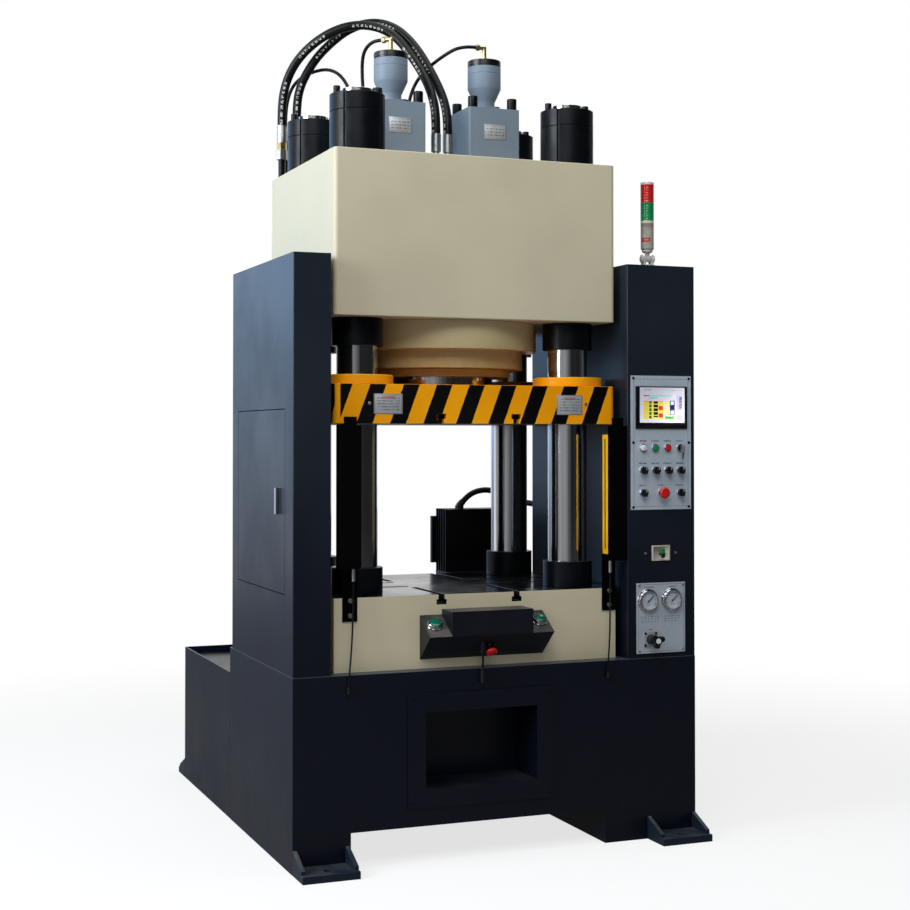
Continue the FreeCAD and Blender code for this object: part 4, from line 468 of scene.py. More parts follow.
CREAM = enamel("CreamEnamel", shade(199, 192, 165), 0.42, dust=0.1, gloss=0.3, wear=0.3)
# The navy's low colour is painted shade, its seam band a painted highlight, its join painted
# shadow.
NAVY = enamel("NavyEnamel", shade(30, 37, 46), 0.34, dust=0.05, gloss=0.28, wear=0.35,
              seam_highlight=(BASE_TOP - 0.0016, BASE_TOP + 0.0012), low=shade(9, 13, 28), join=BASE_BACK)
FOOT_BLUE = enamel("FootEnamel", shade(22, 33, 46), 0.4, dust=0.2, gloss=0.3)
# The hand box's high dust share also paints a pale sheen on its upward slopes.
BOX_BLACK = enamel("BoxBlackEnamel", shade(14, 18, 27), 0.4, dust=0.32, gloss=0.3, wear=0.3)
# The cylinder's stain is a warm tint, partly oil, partly a painted reflection of the yellow slide.
CYLINDER_CREAM = enamel("CylinderEnamel", shade(198, 184, 146), 0.36, dust=0.1,
                        stain=(1.68, 1.80))
VALVE_GREY = enamel("ValveGreyEnamel", shade(119, 135, 150), 0.5, dust=0.3, gloss=0.3)
YELLOW = enamel("YellowEnamel", shade(252, 168, 2), 0.4, dust=0.06, gloss=0.22, wear=0.6)
GUARD_BLACK = enamel("GuardBlackEnamel", shade(3, 3, 4), 0.5, dust=0.04, gloss=0.05, wear=0.2)
print("enamels ready")

# %% [markdown]
# The slide wears a warning pattern: slanted black bands sprayed over yellow through a mask.
# The bands run on round the corners, so their place is counted along the side of the plate,
# with X on the front and Y on the ends. Bands cut as faces would have an edge that paint
# hasn't; as a mask they stay flat, and their edges are a little ragged and chipped.

# %% Hazard bands on the slide
def hazard_paint(period, lean, start, low_x, high_x):
    """Black bands over yellow between low_x and high_x; start is where one band ends, at Z 0."""
    paint = Finish("HazardBands", Roughness=0.4, Specular_IOR_Level=0.2)
    facing = paint.normal()
    on_end = abs(facing[0]) > 0.75
    along = paint.x * (1 - on_end) + (paint.y * -1) * on_end
    ragged = paint.noise(60.0, 3.0) * 0.004
    run = (along - paint.z * lean - start + ragged) / period
    band = (run.fraction() > 0.52)
    flat = abs(facing[2]) > 0.6
    margin = (paint.x < low_x).most(paint.x > high_x) * (1 - on_end)
    black = band * (1 - flat) * (1 - margin)
    broad = paint.noise(3.0, 4.0)
    chips = paint.noise(55.0, 6.0, 0.75).ramp(0.70, 0.74)
    yellow = paint.mottled(broad, shade(240, 156, 0), shade(254, 172, 4))
    dark = paint.mottled(broad, shade(2, 2, 2), shade(5, 5, 5))
    tone = paint.mix(black, yellow, dark)
    tone = paint.mix(chips * black * 0.7, tone, shade(200, 140, 20))
    under = facing[2] < -0.6
    steel = paint.mix(paint.noise(120.0, 4.0), shade(120, 122, 124), shade(160, 162, 164))
    tone = paint.mix(under, tone, steel)
    dust = facing[2].ramp(0.5, 0.98) * paint.noise(30.0, 4.0).ramp(0.35, 0.75) * 0.25
    tone = paint.mix(dust, tone, shade(170, 160, 140))
    rough = broad.ramp(0.3, 0.75, 0.34, 0.5) + black * 0.04
    relief = paint.noise(420.0, 2.0) + black * 1.5
    return paint.send(Base_Color=tone, Roughness=rough, Metallic=under * 1.0,
                      Normal=paint.bump(relief, 0.0002, 0.4))


HAZARD = hazard_paint(period=0.1199, lean=0.375, start=-1.0098, low_x=-0.573, high_x=0.443)
print("hazard bands ready")

# %% [markdown]
# Fittings and small screws are zinc plated or brass, and the plates are riveted with zinc. Such
# metal has fine lines in one direction and dull spots from hands. The lines could be an
# anisotropic shader; noise stretched along one axis shows them in the colour as well.

# %% Zinc and brass
def brushed_metal(name, tone, way, roughness, stain):
    """Metal with fine lines; way stretches them along X, Y and Z, and stain darkens spots."""
    steel = Finish(name, Metallic=1.0)
    lines = steel.noise(34.0, 6.0, 0.7, where=steel.stretched(*way))
    cloud = steel.noise(4.5, 5.0)
    pale = steel.mix(lines, scaled(tone, 0.8), tone)
    spots = steel.noise(23.0, 5.0, 0.7).ramp(0.58, 0.72)
    worn = steel.mix(spots * stain, pale, shade(92, 84, 76))
    rough = lines * 0.16 + cloud.ramp(0.3, 0.7, roughness * 0.7, roughness * 1.2)
    return steel.send(Base_Color=worn, Roughness=rough,
                      Normal=steel.bump(lines, 0.00012, 0.35))


ZINC = brushed_metal("ZincPlate", shade(196, 198, 196), (6.0, 6.0, 6.0), 0.3, 0.25)
BRASS = brushed_metal("TurnedBrass", shade(204, 184, 132), (4.0, 4.0, 30.0), 0.26, 0.35)
print("zinc and brass ready")

# %% [markdown]
# The columns and the ram are ground and hard chromed. They are nearly mirrors, so most of what
# shows on them is the room. A perfect mirror would look like glass: faint lines along each
# column and a thin film of oil, which changes the gloss slowly, make it steel. The lines are
# also lighter and darker in the colour, partly polishing lines and partly painted streaks of
# reflected light along the columns and the ram.

# %% Hard chrome
def hard_chrome():
    chrome = Finish("HardChrome", Metallic=1.0)
    lines = chrome.noise(90.0, 3.0, 0.6, where=chrome.stretched(1.0, 1.0, 0.01))
    film = chrome.noise(3.0, 4.0, where=chrome.stretched(3.0, 3.0, 0.4))
    # Lighter and darker lines along the column: polishing lines, and painted streaks of reflected
    # light.
    tone = chrome.mix(lines.ramp(0.3, 0.75), shade(218, 220, 224), shade(176, 178, 182))
    rough = lines * 0.05 + film.ramp(0.35, 0.8, 0.09, 0.15)
    return chrome.send(Base_Color=tone, Roughness=rough,
                       Normal=chrome.bump(lines, 0.00001, 0.15))


CHROME = hard_chrome()
print("chrome ready")

# %% [markdown]
# Collars, nuts and screws are blackened in hot salts, and the motor is painted black. The film
# is thin and rubs off in grey spots, and a little dust lies on top. A fully metallic shader
# would turn grey in the bright room; with little metal and a weak gloss it stays black.

# %% Black oxide
def black_oxide(name, tone, roughness):
    """Blackened steel of this tone, with rubbed spots and some dust on what faces up."""
    oxide = Finish(name, Metallic=0.1, Specular_IOR_Level=0.2)
    cloud = oxide.noise(11.0, 5.0)
    grain = oxide.noise(240.0, 3.0)
    dull = oxide.mottled(cloud, tone, scaled(tone, 1.4))
    rub = oxide.noise(34.0, 6.0, 0.75).ramp(0.68, 0.74) * 0.12
    dull = oxide.mix(rub, dull, shade(104, 106, 110))
    dust = oxide.normal()[2].ramp(0.5, 0.98) * cloud * 0.12
    dull = oxide.mix(dust, dull, shade(140, 136, 130))
    rough = cloud.ramp(0.3, 0.75, roughness * 0.8, roughness * 1.2)
    return oxide.send(Base_Color=dull, Roughness=rough,
                      Normal=oxide.bump(grain, 0.00012, 0.35))


OXIDE = black_oxide("BlackOxide", shade(7, 10, 15), 0.36)
MOTOR_BLACK = black_oxide("MotorBlack", shade(8, 8, 10), 0.42)
print("black oxide ready")

# %% [markdown]
# The bed is painted cream on its sides, while its top is ground, dark with oil, and crossed by
# slots for bolts. It could be two pieces. It is one casting, though, so one material picks the
# finish: ground where a face looks up at the top's height, machined where a face lies in a
# slot, less than the slots' depth below the top, and cream elsewhere.

# %% Bed
NEAR = 0.0005
SLOT_DEPTH = 0.036


def bed_finish():
    """Cream sides, and a ground and oily top with machined slots."""
    bed = Finish("BedFaces", Roughness=0.4, Specular_IOR_Level=0.12)
    low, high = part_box("bed")
    middle_x, half_x = (low.x + high.x) / 2, (high.x - low.x) / 2
    facing = bed.normal()
    top = (facing[2] > 0.7) * (bed.z > high.z - 0.005)
    on_x, on_y = abs(facing[0]) > 0.7, abs(facing[1]) > 0.7
    side = (on_y * (bed.y < low.y + NEAR)).most(on_y * (bed.y > high.y - NEAR)).most(
        on_x * (abs(bed.x - middle_x) > half_x - NEAR))
    slot = (bed.z > high.z - SLOT_DEPTH - NEAR) * (1 - top) * (1 - side)
    bare = top.most(slot)
    broad = bed.noise(2.3, 4.0)
    lines = bed.noise(30.0, 6.0, 0.7, where=bed.stretched(14.0, 1.0, 14.0))
    oil = bed.noise(5.0, 5.0)
    cream = bed.mottled(broad, shade(202, 193, 164), shade(209, 200, 171))
    steel = bed.mix(oil.ramp(0.35, 0.7), shade(24, 28, 34), shade(44, 48, 55))
    tone = bed.mix(bare, cream, steel)
    tone = bed.mix(slot, tone, shade(40, 40, 42))
    oiled = lines * 0.1 + oil.ramp(0.3, 0.7, 0.08, 0.2)
    rough = bare * oiled + (1 - bare) * broad.ramp(0.3, 0.75, 0.36, 0.5)
    relief = bare * lines + (1 - bare) * bed.noise(420.0, 2.0)
    return bed.send(Base_Color=tone, Roughness=rough, Metallic=bare * 0.3,
                    Normal=bed.bump(relief, 0.00015, 0.35))


BED = bed_finish()
print("bed finish ready")

# %% [markdown]
# Caps, knobs and lenses are moulded: one colour, a fine grain and a gloss that varies a little
# where fingers have been. The lenses of the tower could be made of clear plastic with a lamp
# inside, which takes long to render. They are off, so coloured plastic with a faint glow does.

# %% Plastics and lenses
def plastic(name, tone, roughness, grain=300.0, gloss=0.45, glow=0.0):
    """Moulded plastic of one colour; a lens may glow a little."""
    made = Finish(name, Roughness=roughness, Specular_IOR_Level=gloss)
    cloud = made.noise(60.0, 4.0)
    colour = made.mottled(cloud, scaled(tone, 0.85), tone)
    if glow:
        made.shader.inputs["Emission Strength"].default_value = glow
        made.shader.inputs["Emission Color"].default_value = tone
    return made.moulded(colour, cloud, roughness * 0.8, roughness * 1.2, grain)


GREEN = plastic("GreenCap", shade(18, 140, 76), 0.3)
RED = plastic("RedCap", shade(200, 26, 28), 0.32)
GREEN_LENS = plastic("GreenLens", shade(16, 132, 74), 0.2, 900.0, 0.6, 0.08)
RED_LENS = plastic("RedLens", shade(196, 28, 26), 0.2, 900.0, 0.6, 0.08)
WHITE_CAP = plastic("WhiteCap", shade(226, 228, 230), 0.3)
BLACK_CAP = plastic("BlackCap", shade(10, 10, 12), 0.34)
PALE_BODY = plastic("PaleBody", shade(206, 206, 200), 0.42)
PALM_GREEN = plastic("PalmGreen", shade(4, 98, 76), 0.16, 700.0, 0.6)
print("plastics ready")

# %% [markdown]
# The big hoses carry a row of small pale printed dashes, which bend with the hose. Coordinates
# of the room would cut straight through the bends. A curve gives its bevel a map of its own,
# with U along the hose and V round it, so the dashes are counted in that.

# %% Rubber
def hose_rubber(name, spacing, share, mark):
    """Black rubber with pale printed dashes; U runs along the hose, V round it."""
    rubber = Finish(name, Roughness=0.5, Specular_IOR_Level=0.2)
    uv = rubber.split(rubber.node("ShaderNodeTexCoord", out="UV"))
    dash = ((uv[0] / spacing).fraction() < share) * ((uv[0] * 4.5).fraction() < 0.55)
    side = uv[1].between(0.09, 0.17).most(uv[1].between(0.59, 0.67))
    blot = rubber.noise(160.0, 3.0) > 0.45
    cloud = rubber.noise(22.0, 4.0)
    dark = rubber.mottled(cloud, shade(7, 8, 10), shade(17, 18, 21))
    tone = rubber.mix(dash * side * blot * mark, dark, shade(196, 196, 190))
    return rubber.send(Base_Color=tone, Roughness=cloud.ramp(0.3, 0.7, 0.3, 0.48),
                       Normal=rubber.bump(rubber.noise(160.0, 3.0), 0.0003, 0.35))


HOSE = hose_rubber("HoseRubber", 0.016, 0.62, 0.85)
CABLE = hose_rubber("CableJacket", 0.5, 0.0, 0.0)
print("rubber ready")

# %% [markdown]
# The frame, cabinets and big turned parts are right as they are, so modelling them again would
# only risk their sizes. They keep their solids' shapes. Welded and cast parts get wide soft
# edges, folded sheet and machined parts get narrow ones.

# %% Frame, cabinets and large parts
LARGE_PARTS = {
    "base_frame": (NAVY, 0.005, 3), "foot_brackets": (FOOT_BLUE, 0.003, 3),
    "recess_tray": (NAVY, 0.0015, 2), "tank": (NAVY, 0.0015, 2),
    "cabinet_left": (NAVY, 0.003, 3), "cabinet_right": (NAVY, 0.003, 3),
    "door_left": (NAVY, 0.0012, 2), "door_right": (NAVY, 0.0012, 2),
    "crown": (CREAM, 0.005, 3), "bed": (BED, 0.0012, 2), "slide": (HAZARD, 0.002, 2),
    "guide_bushes": (YELLOW, 0.004, 3), "column_collars": (OXIDE, 0.002, 2),
    "column_nuts": (OXIDE, 0.004, 3), "columns": (CHROME, 0.002, 2), "ram": (CHROME, 0.002, 2),
    "cylinder": (CYLINDER_CREAM, 0.003, 3), "valve_blocks": (VALVE_GREY, 0.002, 2),
    "tank_lid": (NAVY, 0.0015, 2), "motor_pump": (MOTOR_BLACK, 0.0008, 2)}
for label, (paint, width, steps) in LARGE_PARTS.items():
    dress(eased(label, width, steps), paint)
print("large parts dressed:", len(LARGE_PARTS))

# %% [markdown]
# The pieces on the hoses are cut from different metals: bright crimped ferrules, brass nuts
# and stems, and black pipe below. They are told apart by how high, wide and tall they are.

# %% Hose fittings and glands
def fitting_metal(low, high):
    """0 for zinc, 1 for brass and 2 for black steel."""
    wide, tall = high.x - low.x, high.z - low.z
    on_cup = low.z > 2.79
    pipe = tall > 1.2
    elbow = wide > 0.09 and tall < 0.06 and low.z < 2.3
    ferrule = 0.0355 < wide < 0.0425 and tall > 0.06
    nut = wide > 0.034 and tall < 0.032
    stem = wide < 0.036 and tall < 0.09
    if on_cup:
        return 1
    if pipe or elbow:
        return 2
    return 1 if (nut or stem) and not ferrule else 0


def gland_metal(low, high):
    """Zinc for the plugs on the bed's front, black plastic for all others."""
    return 0 if high.y < -0.7 and low.z > 0.9 else 1


dress(eased("hose_fittings", 0.0008), ZINC, BRASS, OXIDE, choose=fitting_metal)
dress(eased("cable_glands", 0.0008), ZINC, BLACK_CAP, choose=gland_metal)
print("fittings dressed")

# %% [markdown]
# Rubber hoses run from fitting to fitting. They could be swept meshes, but a curve with a round
# bevel is easier to change. A smooth spline takes the route's points as its control points, so
# the hose never kinks. Points are in millimetres, counted from HEAD, the middle of the crown's
# top, from the motor or from the model's origin.

# %% Hoses and cables
HEAD = Vector((-0.070, -0.369, 2.400))
MOTOR_FOOT = Vector((0.378, 0.031, 0.870))
ORIGIN = Vector((0, 0, 0))


def route(points, base):
    return [base + Vector(point) / 1000 for point in points]


def hose(name, label, points, radius, material):
    """A hose along control points, from fitting to fitting."""
    data = bpy.data.curves.new(name, "CURVE")
    data.dimensions = "3D"
    line = data.splines.new("NURBS")
    line.points.add(len(points) - 1)
    for knot, spot in zip(line.points, points):
        knot.co = (*spot, 1.0)
    line.order_u = 3
    line.use_endpoint_u = True
    data.resolution_u = 10
    data.bevel_depth = radius
    data.bevel_resolution = 6
    data.use_fill_caps = True
    data.materials.append(material)
    piece = bpy.data.objects.new(name, data)
    bpy.context.scene.collection.objects.link(piece)
    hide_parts(label)
    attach(piece, "frame")
    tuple(points[0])
    return piece


OUTER = route([(-469, 455, 224), (-469, 455, 296), (-462, 445, 367), (-442, 426, 433),
               (-409, 397, 489), (-366, 358, 534), (-315, 315, 568), (-257, 275, 588),
               (-195, 237, 589), (-138, 201, 568), (-94, 167, 526), (-61, 131, 464),
               (-34, 89, 398), (-18, 49, 333), (-10, 17, 269), (-8, 0, 205), (-8, 0, 145)], HEAD)
INNER = route([(-410, 455, 224), (-410, 455, 297), (-403, 443, 369), (-377, 425, 433),
               (-341, 402, 493), (-296, 374, 543), (-246, 340, 586), (-193, 299, 608),
               (-139, 254, 606), (-89, 211, 579), (-51, 172, 531), (-22, 135, 474),
               (1, 95, 408), (20, 57, 342), (33, 20, 274), (38, 0, 207), (38, 0, 145)], HEAD)
PILOT_LEFT = route([(-209.04, 24.04, 481), (-227, 42, 481), (-241, 62, 475), (-250, 83, 463),
                    (-255, 98, 448), (-256, 110, 430), (-255, 120, 407), (-253, 126, 380),
                    (-251, 129, 349), (-248, 130, 317), (-245, 130, 283), (-243, 130, 248),
                    (-242, 130, 212), (-241, 131, 175), (-241, 132, 137), (-242, 133, 60),
                    (-242, 133, 22)], HEAD)
PILOT_RIGHT = route([(151, 0, 481), (126, 0, 481), (99, 8, 478), (77, 25, 473), (59, 50, 462),
                     (44, 78, 451), (29, 105, 438), (12, 129, 421), (-8, 147, 398),
                     (-27, 157, 369), (-42, 161, 336), (-53, 160, 301), (-60, 156, 266),
                     (-65, 151, 231), (-69, 146, 195), (-71, 141, 159), (-71, 137, 123),
                     (-71, 133, 72), (-71, 133, 22)], HEAD)
PILOT_REAR = route([(-440, 495, 22), (-440, 495, 80), (-441, 495, 138), (-442, 494, 196),
                    (-443, 494, 253), (-440, 493, 306), (-430, 493, 353), (-414, 491, 389),
                    (-394, 484, 413), (-374, 471, 428), (-355, 450, 437), (-337, 418, 440),
                    (-323, 377, 437), (-313, 334, 427), (-304, 291, 411), (-295, 250, 387),
                    (-286, 214, 353), (-278, 183, 309), (-272, 161, 257), (-270, 145, 200),
                    (-270, 136, 141), (-270, 133, 82), (-270, 133, 22)], HEAD)
MOTOR_ROUTE = route([(-67.44, 300, 287.56), (-45, 300, 310), (-15, 301, 326), (18, 300, 334),
                     (49, 295, 334), (79, 284, 327), (106, 268, 314), (129, 246, 302),
                     (150, 220, 291), (169, 191, 284), (186, 160, 280), (200, 128, 279),
                     (211, 94, 280), (218, 60, 280), (222, 25, 280), (222, -8, 280)], MOTOR_FOOT)
hose("HoseOuter", "hose_outer", OUTER, 0.017, HOSE)
hose("HoseInner", "hose_inner", INNER, 0.017, HOSE)
hose("PilotLeft", "pilot_hose_left", PILOT_LEFT, 0.0065, CABLE)
hose("PilotRight", "pilot_hose_right", PILOT_RIGHT, 0.0065, CABLE)
hose("PilotRear", "pilot_hose_rear", PILOT_REAR, 0.0065, CABLE)
hose("MotorCable", "motor_cable", MOTOR_ROUTE, 0.012, CABLE)
for tag, x in (("Left", -535), ("Right", 421)):
    lead = route([(x, -795, 947), (x, -795, 907), (x - 2, -798, 854), (x - 5, -803, 800),
                  (x - 10, -811, 746), (x - 17, -820, 694), (x - 23, -826, 652),
                  (x - 25, -828, 622), (x - 25, -828, 602)], ORIGIN)
    hose("SensorCable" + tag, "sensor_cables", lead, 0.003, CABLE)
BOX_LEAD = route([(-84, -831, 692), (-84, -831, 680), (-82.6, -831, 666), (-84, -831, 652),
                  (-84, -831, 640)], ORIGIN)
hose("BoxCable", "box_cable", BOX_LEAD, 0.004, CABLE)
print("hoses laid")

# %% [markdown]
# Buttons, cups, gauges and lenses are all turned on a lathe or moulded round. A cylinder with
# some loops pushed in would do for one of them. Half an outline, radius and height, that is
# spun about its own axis does for all, and shows each groove and lip as it is on the drawing.
# Boxes start from a cube and get all their edges bevelled. A last move puts a piece in place.

# %% Spun pieces and bevelled blocks
SLOTS = {VALVE_GREY: "blued_steel", BLACK_CAP: "black_plastic", OXIDE: "black_steel",
         CHROME: "chrome_plate", BRASS: "brass_fitting", ZINC: "zinc_steel",
         GREEN_LENS: "green_plastic", RED_LENS: "red_plastic", PALM_GREEN: "green_plastic"}


def turned_to(way):
    """The turn that takes Z to the given direction, and none at all where that is Z."""
    return Vector(UPWARD).rotation_difference(Vector(way)).to_matrix().to_4x4()


def settled(piece, material, body, at=(0, 0, 0), way=UPWARD, label=None):
    """Writes a piece's place into its mesh, lets it ride and stand for a solid."""
    piece.data.transform(Matrix.Translation(Vector(at)) @ turned_to(way) @ piece.matrix_world)
    piece.matrix_world = Matrix.Identity(4)
    only(piece)
    bpy.ops.object.shade_smooth_by_angle(angle=math.radians(35))
    piece.data.materials.clear()
    piece.data.materials.append(material)
    SLOTS.get(material, "grey_plastic")
    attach(piece, body)
    if label:
        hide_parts(label)
    return piece


def spun(name, outline, at, way, material, steps=40, body="frame", label=None):
    """Draws half an outline by extruding one point, then spins it about Z; millimetres."""
    bpy.ops.object.select_all(action="DESELECT")
    bpy.ops.mesh.primitive_plane_add(size=0.001)
    piece = bpy.context.object
    piece.name = piece.data.name = name
    corners = [Vector((radius, 0, height)) / 1000 for radius, height in outline]
    bpy.ops.object.mode_set(mode="EDIT")
    bpy.ops.mesh.merge(type="CENTER")
    bpy.ops.transform.translate(value=corners[0])
    for last, corner in zip(corners, corners[1:]):
        bpy.ops.mesh.extrude_region_move(TRANSFORM_OT_translate={"value": corner - last})
    bpy.ops.mesh.select_all(action="SELECT")
    bpy.ops.mesh.spin(steps=steps, angle=math.tau, center=(0, 0, 0), axis=UPWARD)
    bpy.ops.mesh.select_all(action="SELECT")
    bpy.ops.mesh.remove_doubles(threshold=0.000001)
    bpy.ops.mesh.normals_make_consistent(inside=False)
    bpy.ops.object.mode_set(mode="OBJECT")
    return settled(piece, material, body, at, way, label)


def slab(name, low, high, edge, material, steps=2, body="frame", label=None):
    """A bevelled block between two corners, in millimetres."""
    middle = [(a + b) / 2000 for a, b in zip(low, high)]
    size = [(b - a) / 1000 for a, b in zip(low, high)]
    bpy.ops.object.select_all(action="DESELECT")
    bpy.ops.mesh.primitive_cube_add(size=1, location=middle)
    piece = bpy.context.object
    piece.name = piece.data.name = name
    piece.scale = size
    bpy.ops.object.transform_apply(location=False, rotation=False, scale=True)
    bpy.ops.object.mode_set(mode="EDIT")
    bpy.ops.mesh.select_all(action="SELECT")
    bpy.ops.mesh.bevel(offset=edge / 1000, segments=steps, affect="EDGES")
    bpy.ops.object.mode_set(mode="OBJECT")
    bpy.context.view_layer.update()
    return settled(piece, material, body, label=label)


print("shape helpers ready")

# %% [markdown]
# Two pilot valves stand on the crown. Each has a blue-grey cup turned from one bar, with a
# narrow neck and a black sealing cap. Cup and cap are two outlines that meet at one height, so
# that the seam between them is a real one.

# %% Valve cups
CUP = [(0, 0), (61, 0), (62, 1), (62, 12), (61, 13), (41, 13), (39, 15), (39, 38), (42, 44),
       (60, 82), (62, 88), (62, 138), (61, 139), (61, 141), (62, 142), (62, 167), (60.5, 168),
       (0, 168)]
CUP_CAP = [(0, 168), (59, 168), (61, 169), (61, 173), (62, 174), (62, 190), (60, 192), (24, 192),
           (22, 190.5), (0, 190.5)]
VALVES_X = (-0.255, 0.115)
VALVE_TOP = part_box("valve_blocks")[1].z
for tag, x in zip(("Left", "Right"), VALVES_X):
    foot = (x, HEAD.y, VALVE_TOP)
    spun("ValveCup" + tag, CUP, foot, UPWARD, VALVE_GREY, 56, label="valve_cups")
    spun("ValveCupCap" + tag, CUP_CAP, foot, UPWARD, BLACK_CAP, 56, label="valve_cups")
print("cups turned")

# %% [markdown]
# Silver plates with rows of print are riveted to the valves and the slide. The marks stand for
# print of no language: a grid of short bars, broken up by noise, on brushed aluminium. Raised
# letters would take thousands of faces that nobody could tell from paint at this distance.

# %% Printed plates
def printed_plate(name, low, high, ink, rows, heading=None):
    """Brushed plate whose front (towards -Y) has rows of broken marks; corners in metres."""
    plate = Finish(name, Metallic=0.5)
    grain = plate.noise(60.0, 4.0, where=plate.stretched(1.0, 1.0, 18.0))
    wide, tall = high[0] - low[0], high[1] - low[1]
    across = (plate.x - low[0]) / wide
    up = (plate.z - low[1]) / tall
    front = plate.normal()[1] < -0.6
    marks = (up * rows).fraction().between(0.30, 0.68) * across.between(0.1, 0.9)
    broken = plate.noise(420.0, 2.0, where=plate.stretched(1, 1, 0.1)) > 0.49
    marks = marks * up.between(0.1, 0.9) * broken
    base = plate.mix(grain, shade(180, 186, 192), shade(222, 226, 230))
    tone = plate.mix(marks * front * 0.75, base, ink)
    if heading:
        head = up.between(0.74, 0.9) * across.between(0.25, 0.75) * front
        tone = plate.mix(head * 0.6 * (plate.noise(500.0) > 0.45), tone, heading)
    rim = (across < 0.04).most(across > 0.96).most(up < 0.05).most(up > 0.95)
    tone = plate.mix(rim * front * 0.5, tone, shade(90, 94, 98))
    SLOTS[plate.material] = "zinc_steel"
    return plate.send(Base_Color=tone, Roughness=grain * 0.2 + 0.28,
                      Normal=plate.bump(marks * front + grain * 0.4, 0.0002, 0.3))


VALVE_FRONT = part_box("valve_blocks")[0].y * 1000
SLIDE_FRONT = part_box("slide")[0].y * 1000
PLATES = {
    "ValvePlateLeft": (-297, -210, 2520, 2577, VALVE_FRONT, "frame", 5),
    "ValvePlateRight": (73, 160, 2520, 2577, VALVE_FRONT, "frame", 5),
    "SlidePlateLeft": (-455, -352, 1505, 1574, SLIDE_FRONT, "slide", 7),
    "SlidePlateRight": (225, 324, 1505, 1575, SLIDE_FRONT, "slide", 7)}
for name, (left, right, low, high, face, body, rows) in PLATES.items():
    heading = shade(190, 40, 30) if body == "slide" else None
    print_on = printed_plate(name + "Print", (left / 1000, low / 1000),
                             (right / 1000, high / 1000), shade(40, 44, 50), rows, heading)
    slab(name, (left, face - 1.2, low), (right, face + 0.2, high), 0.4, print_on, body=body)
    corners = [(x, z) for z in (low + 4, high - 4) for x in (left + 4, right - 4)]
    for i, (x, z) in enumerate(corners):
        spun(f"{name}Rivet{i}", [(0, 1.4), (1.4, 1.1), (2.2, 0), (0, 0)],
             (x / 1000, (face - 1.1) / 1000, z / 1000), FRONTWARD, ZINC, 12, body)
for tag, x, z in (("Left", -0.470, 1.541), ("Right", 0.337, 1.543)):
    spun("SlideBolt" + tag, [(0, 4), (3, 4), (5.5, 3), (6, 0), (0, 0)],
         (x, SLIDE_FRONT / 1000, z), FRONTWARD, ZINC, 24, "slide")
print("plates printed:", len(PLATES))

# %% [markdown]
# Socket-head screws hold the nuts, valves, panels and tray. The hexagon could be a dark spot,
# but the big ones on the valves show their depth. So one head is modelled well, with a socket
# cut into it by a boolean, and every other one is a scaled copy with its own mesh.

# %% Cap screws
def hex_screw():
    """A head of radius 1 and height 1 with a hexagonal socket, standing on Z = 0."""
    bpy.ops.object.select_all(action="DESELECT")
    bpy.ops.mesh.primitive_cylinder_add(vertices=28, radius=1, depth=1, location=(0, 0, 0.5))
    screw = bpy.context.object
    bpy.ops.object.transform_apply(location=True, rotation=False, scale=False)
    applied(screw, "BEVEL", width=0.09, segments=2, limit_method="ANGLE")
    bpy.ops.object.select_all(action="DESELECT")
    bpy.ops.mesh.primitive_cylinder_add(vertices=6, radius=0.58, depth=1, location=(0, 0, 1.05))
    key = bpy.context.object
    only(screw)
    applied(screw, "BOOLEAN", operation="DIFFERENCE", object=key)
    bpy.data.objects.remove(key)
    return screw


def copies(name, template, spots, way, size=(1, 1, 1)):
    """One object that holds a copy of the template, each with its own mesh, at every spot."""
    made = []
    for spot in spots:
        copy = template.copy()
        copy.data = template.data.copy()
        copy.data.transform(Matrix.Translation(Vector(spot)) @ turned_to(way)
                            @ Matrix.Diagonal((*size, 1)))
        bpy.context.scene.collection.objects.link(copy)
        made.append(copy)
    only(made[0])
    for copy in made:
        copy.select_set(True)
    bpy.ops.object.join()
    made[0].name = made[0].data.name = name
    return made[0]


def face_of(label):
    """The middle and half the size of a solid's front, each as X and Z."""
    low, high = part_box(label)
    return (low + high).xz / 2, (high - low).xz / 2


def around(middle, front, half_x, half_z, rows=(-1, 1)):
    """Places on a front at this Y, left and right of a middle, on rows above and below it."""
    return [(middle[0] + i * half_x, front, middle[1] + j * half_z) for i in (-1, 1)
            for j in rows]


TEMPLATE = hex_screw()
COLUMNS_X, COLUMNS_Y, NUT_TOP = (-0.470, 0.330), (-0.633, -0.105), 2.605
CONTROL_AT, CONTROL_HALF = face_of("control_panel")
GAUGES_AT, GAUGES_HALF = face_of("gauge_panel")
PANEL_FRONT, CABINET_FRONT, FLANGE_FRONT, TRAY_FRONT = -0.822, -0.819, -0.826, -0.825
MAIN_SWITCH = (0.610, 1.0125)
HAND_VALVE = (0.566, 0.707)
SMALL = (0.0045, 0.0025, FRONTWARD)
SCREW_ROWS = {
    "NutScrews": ([(x + side * 0.074, y, NUT_TOP) for x in COLUMNS_X for y in COLUMNS_Y
                   for side in (-1, 1)], 0.012, 0.028, UPWARD, OXIDE),
    "ValveScrews": ([(x + i * 0.078, HEAD.y + j * 0.078, VALVE_TOP) for x in VALVES_X
                     for i in (-1, 1) for j in (-1, 1)], 0.018, 0.042, UPWARD, OXIDE),
    "PanelScrews": (around(CONTROL_AT, PANEL_FRONT, 0.1125, 0.230, (-1, 0, 1)), *SMALL, OXIDE),
    "GaugeScrews": (around(GAUGES_AT, PANEL_FRONT, 0.0885, 0.116)
                    + around(MAIN_SWITCH, CABINET_FRONT, 0.0605, 0, (0,)), *SMALL, ZINC),
    "HandValveScrews": (around(HAND_VALVE, FLANGE_FRONT, 0.021, 0.021), *SMALL, OXIDE),
    "TrayScrews": (around((-0.082, 0.373), TRAY_FRONT, 0.2515, 0.174), *SMALL, OXIDE)}
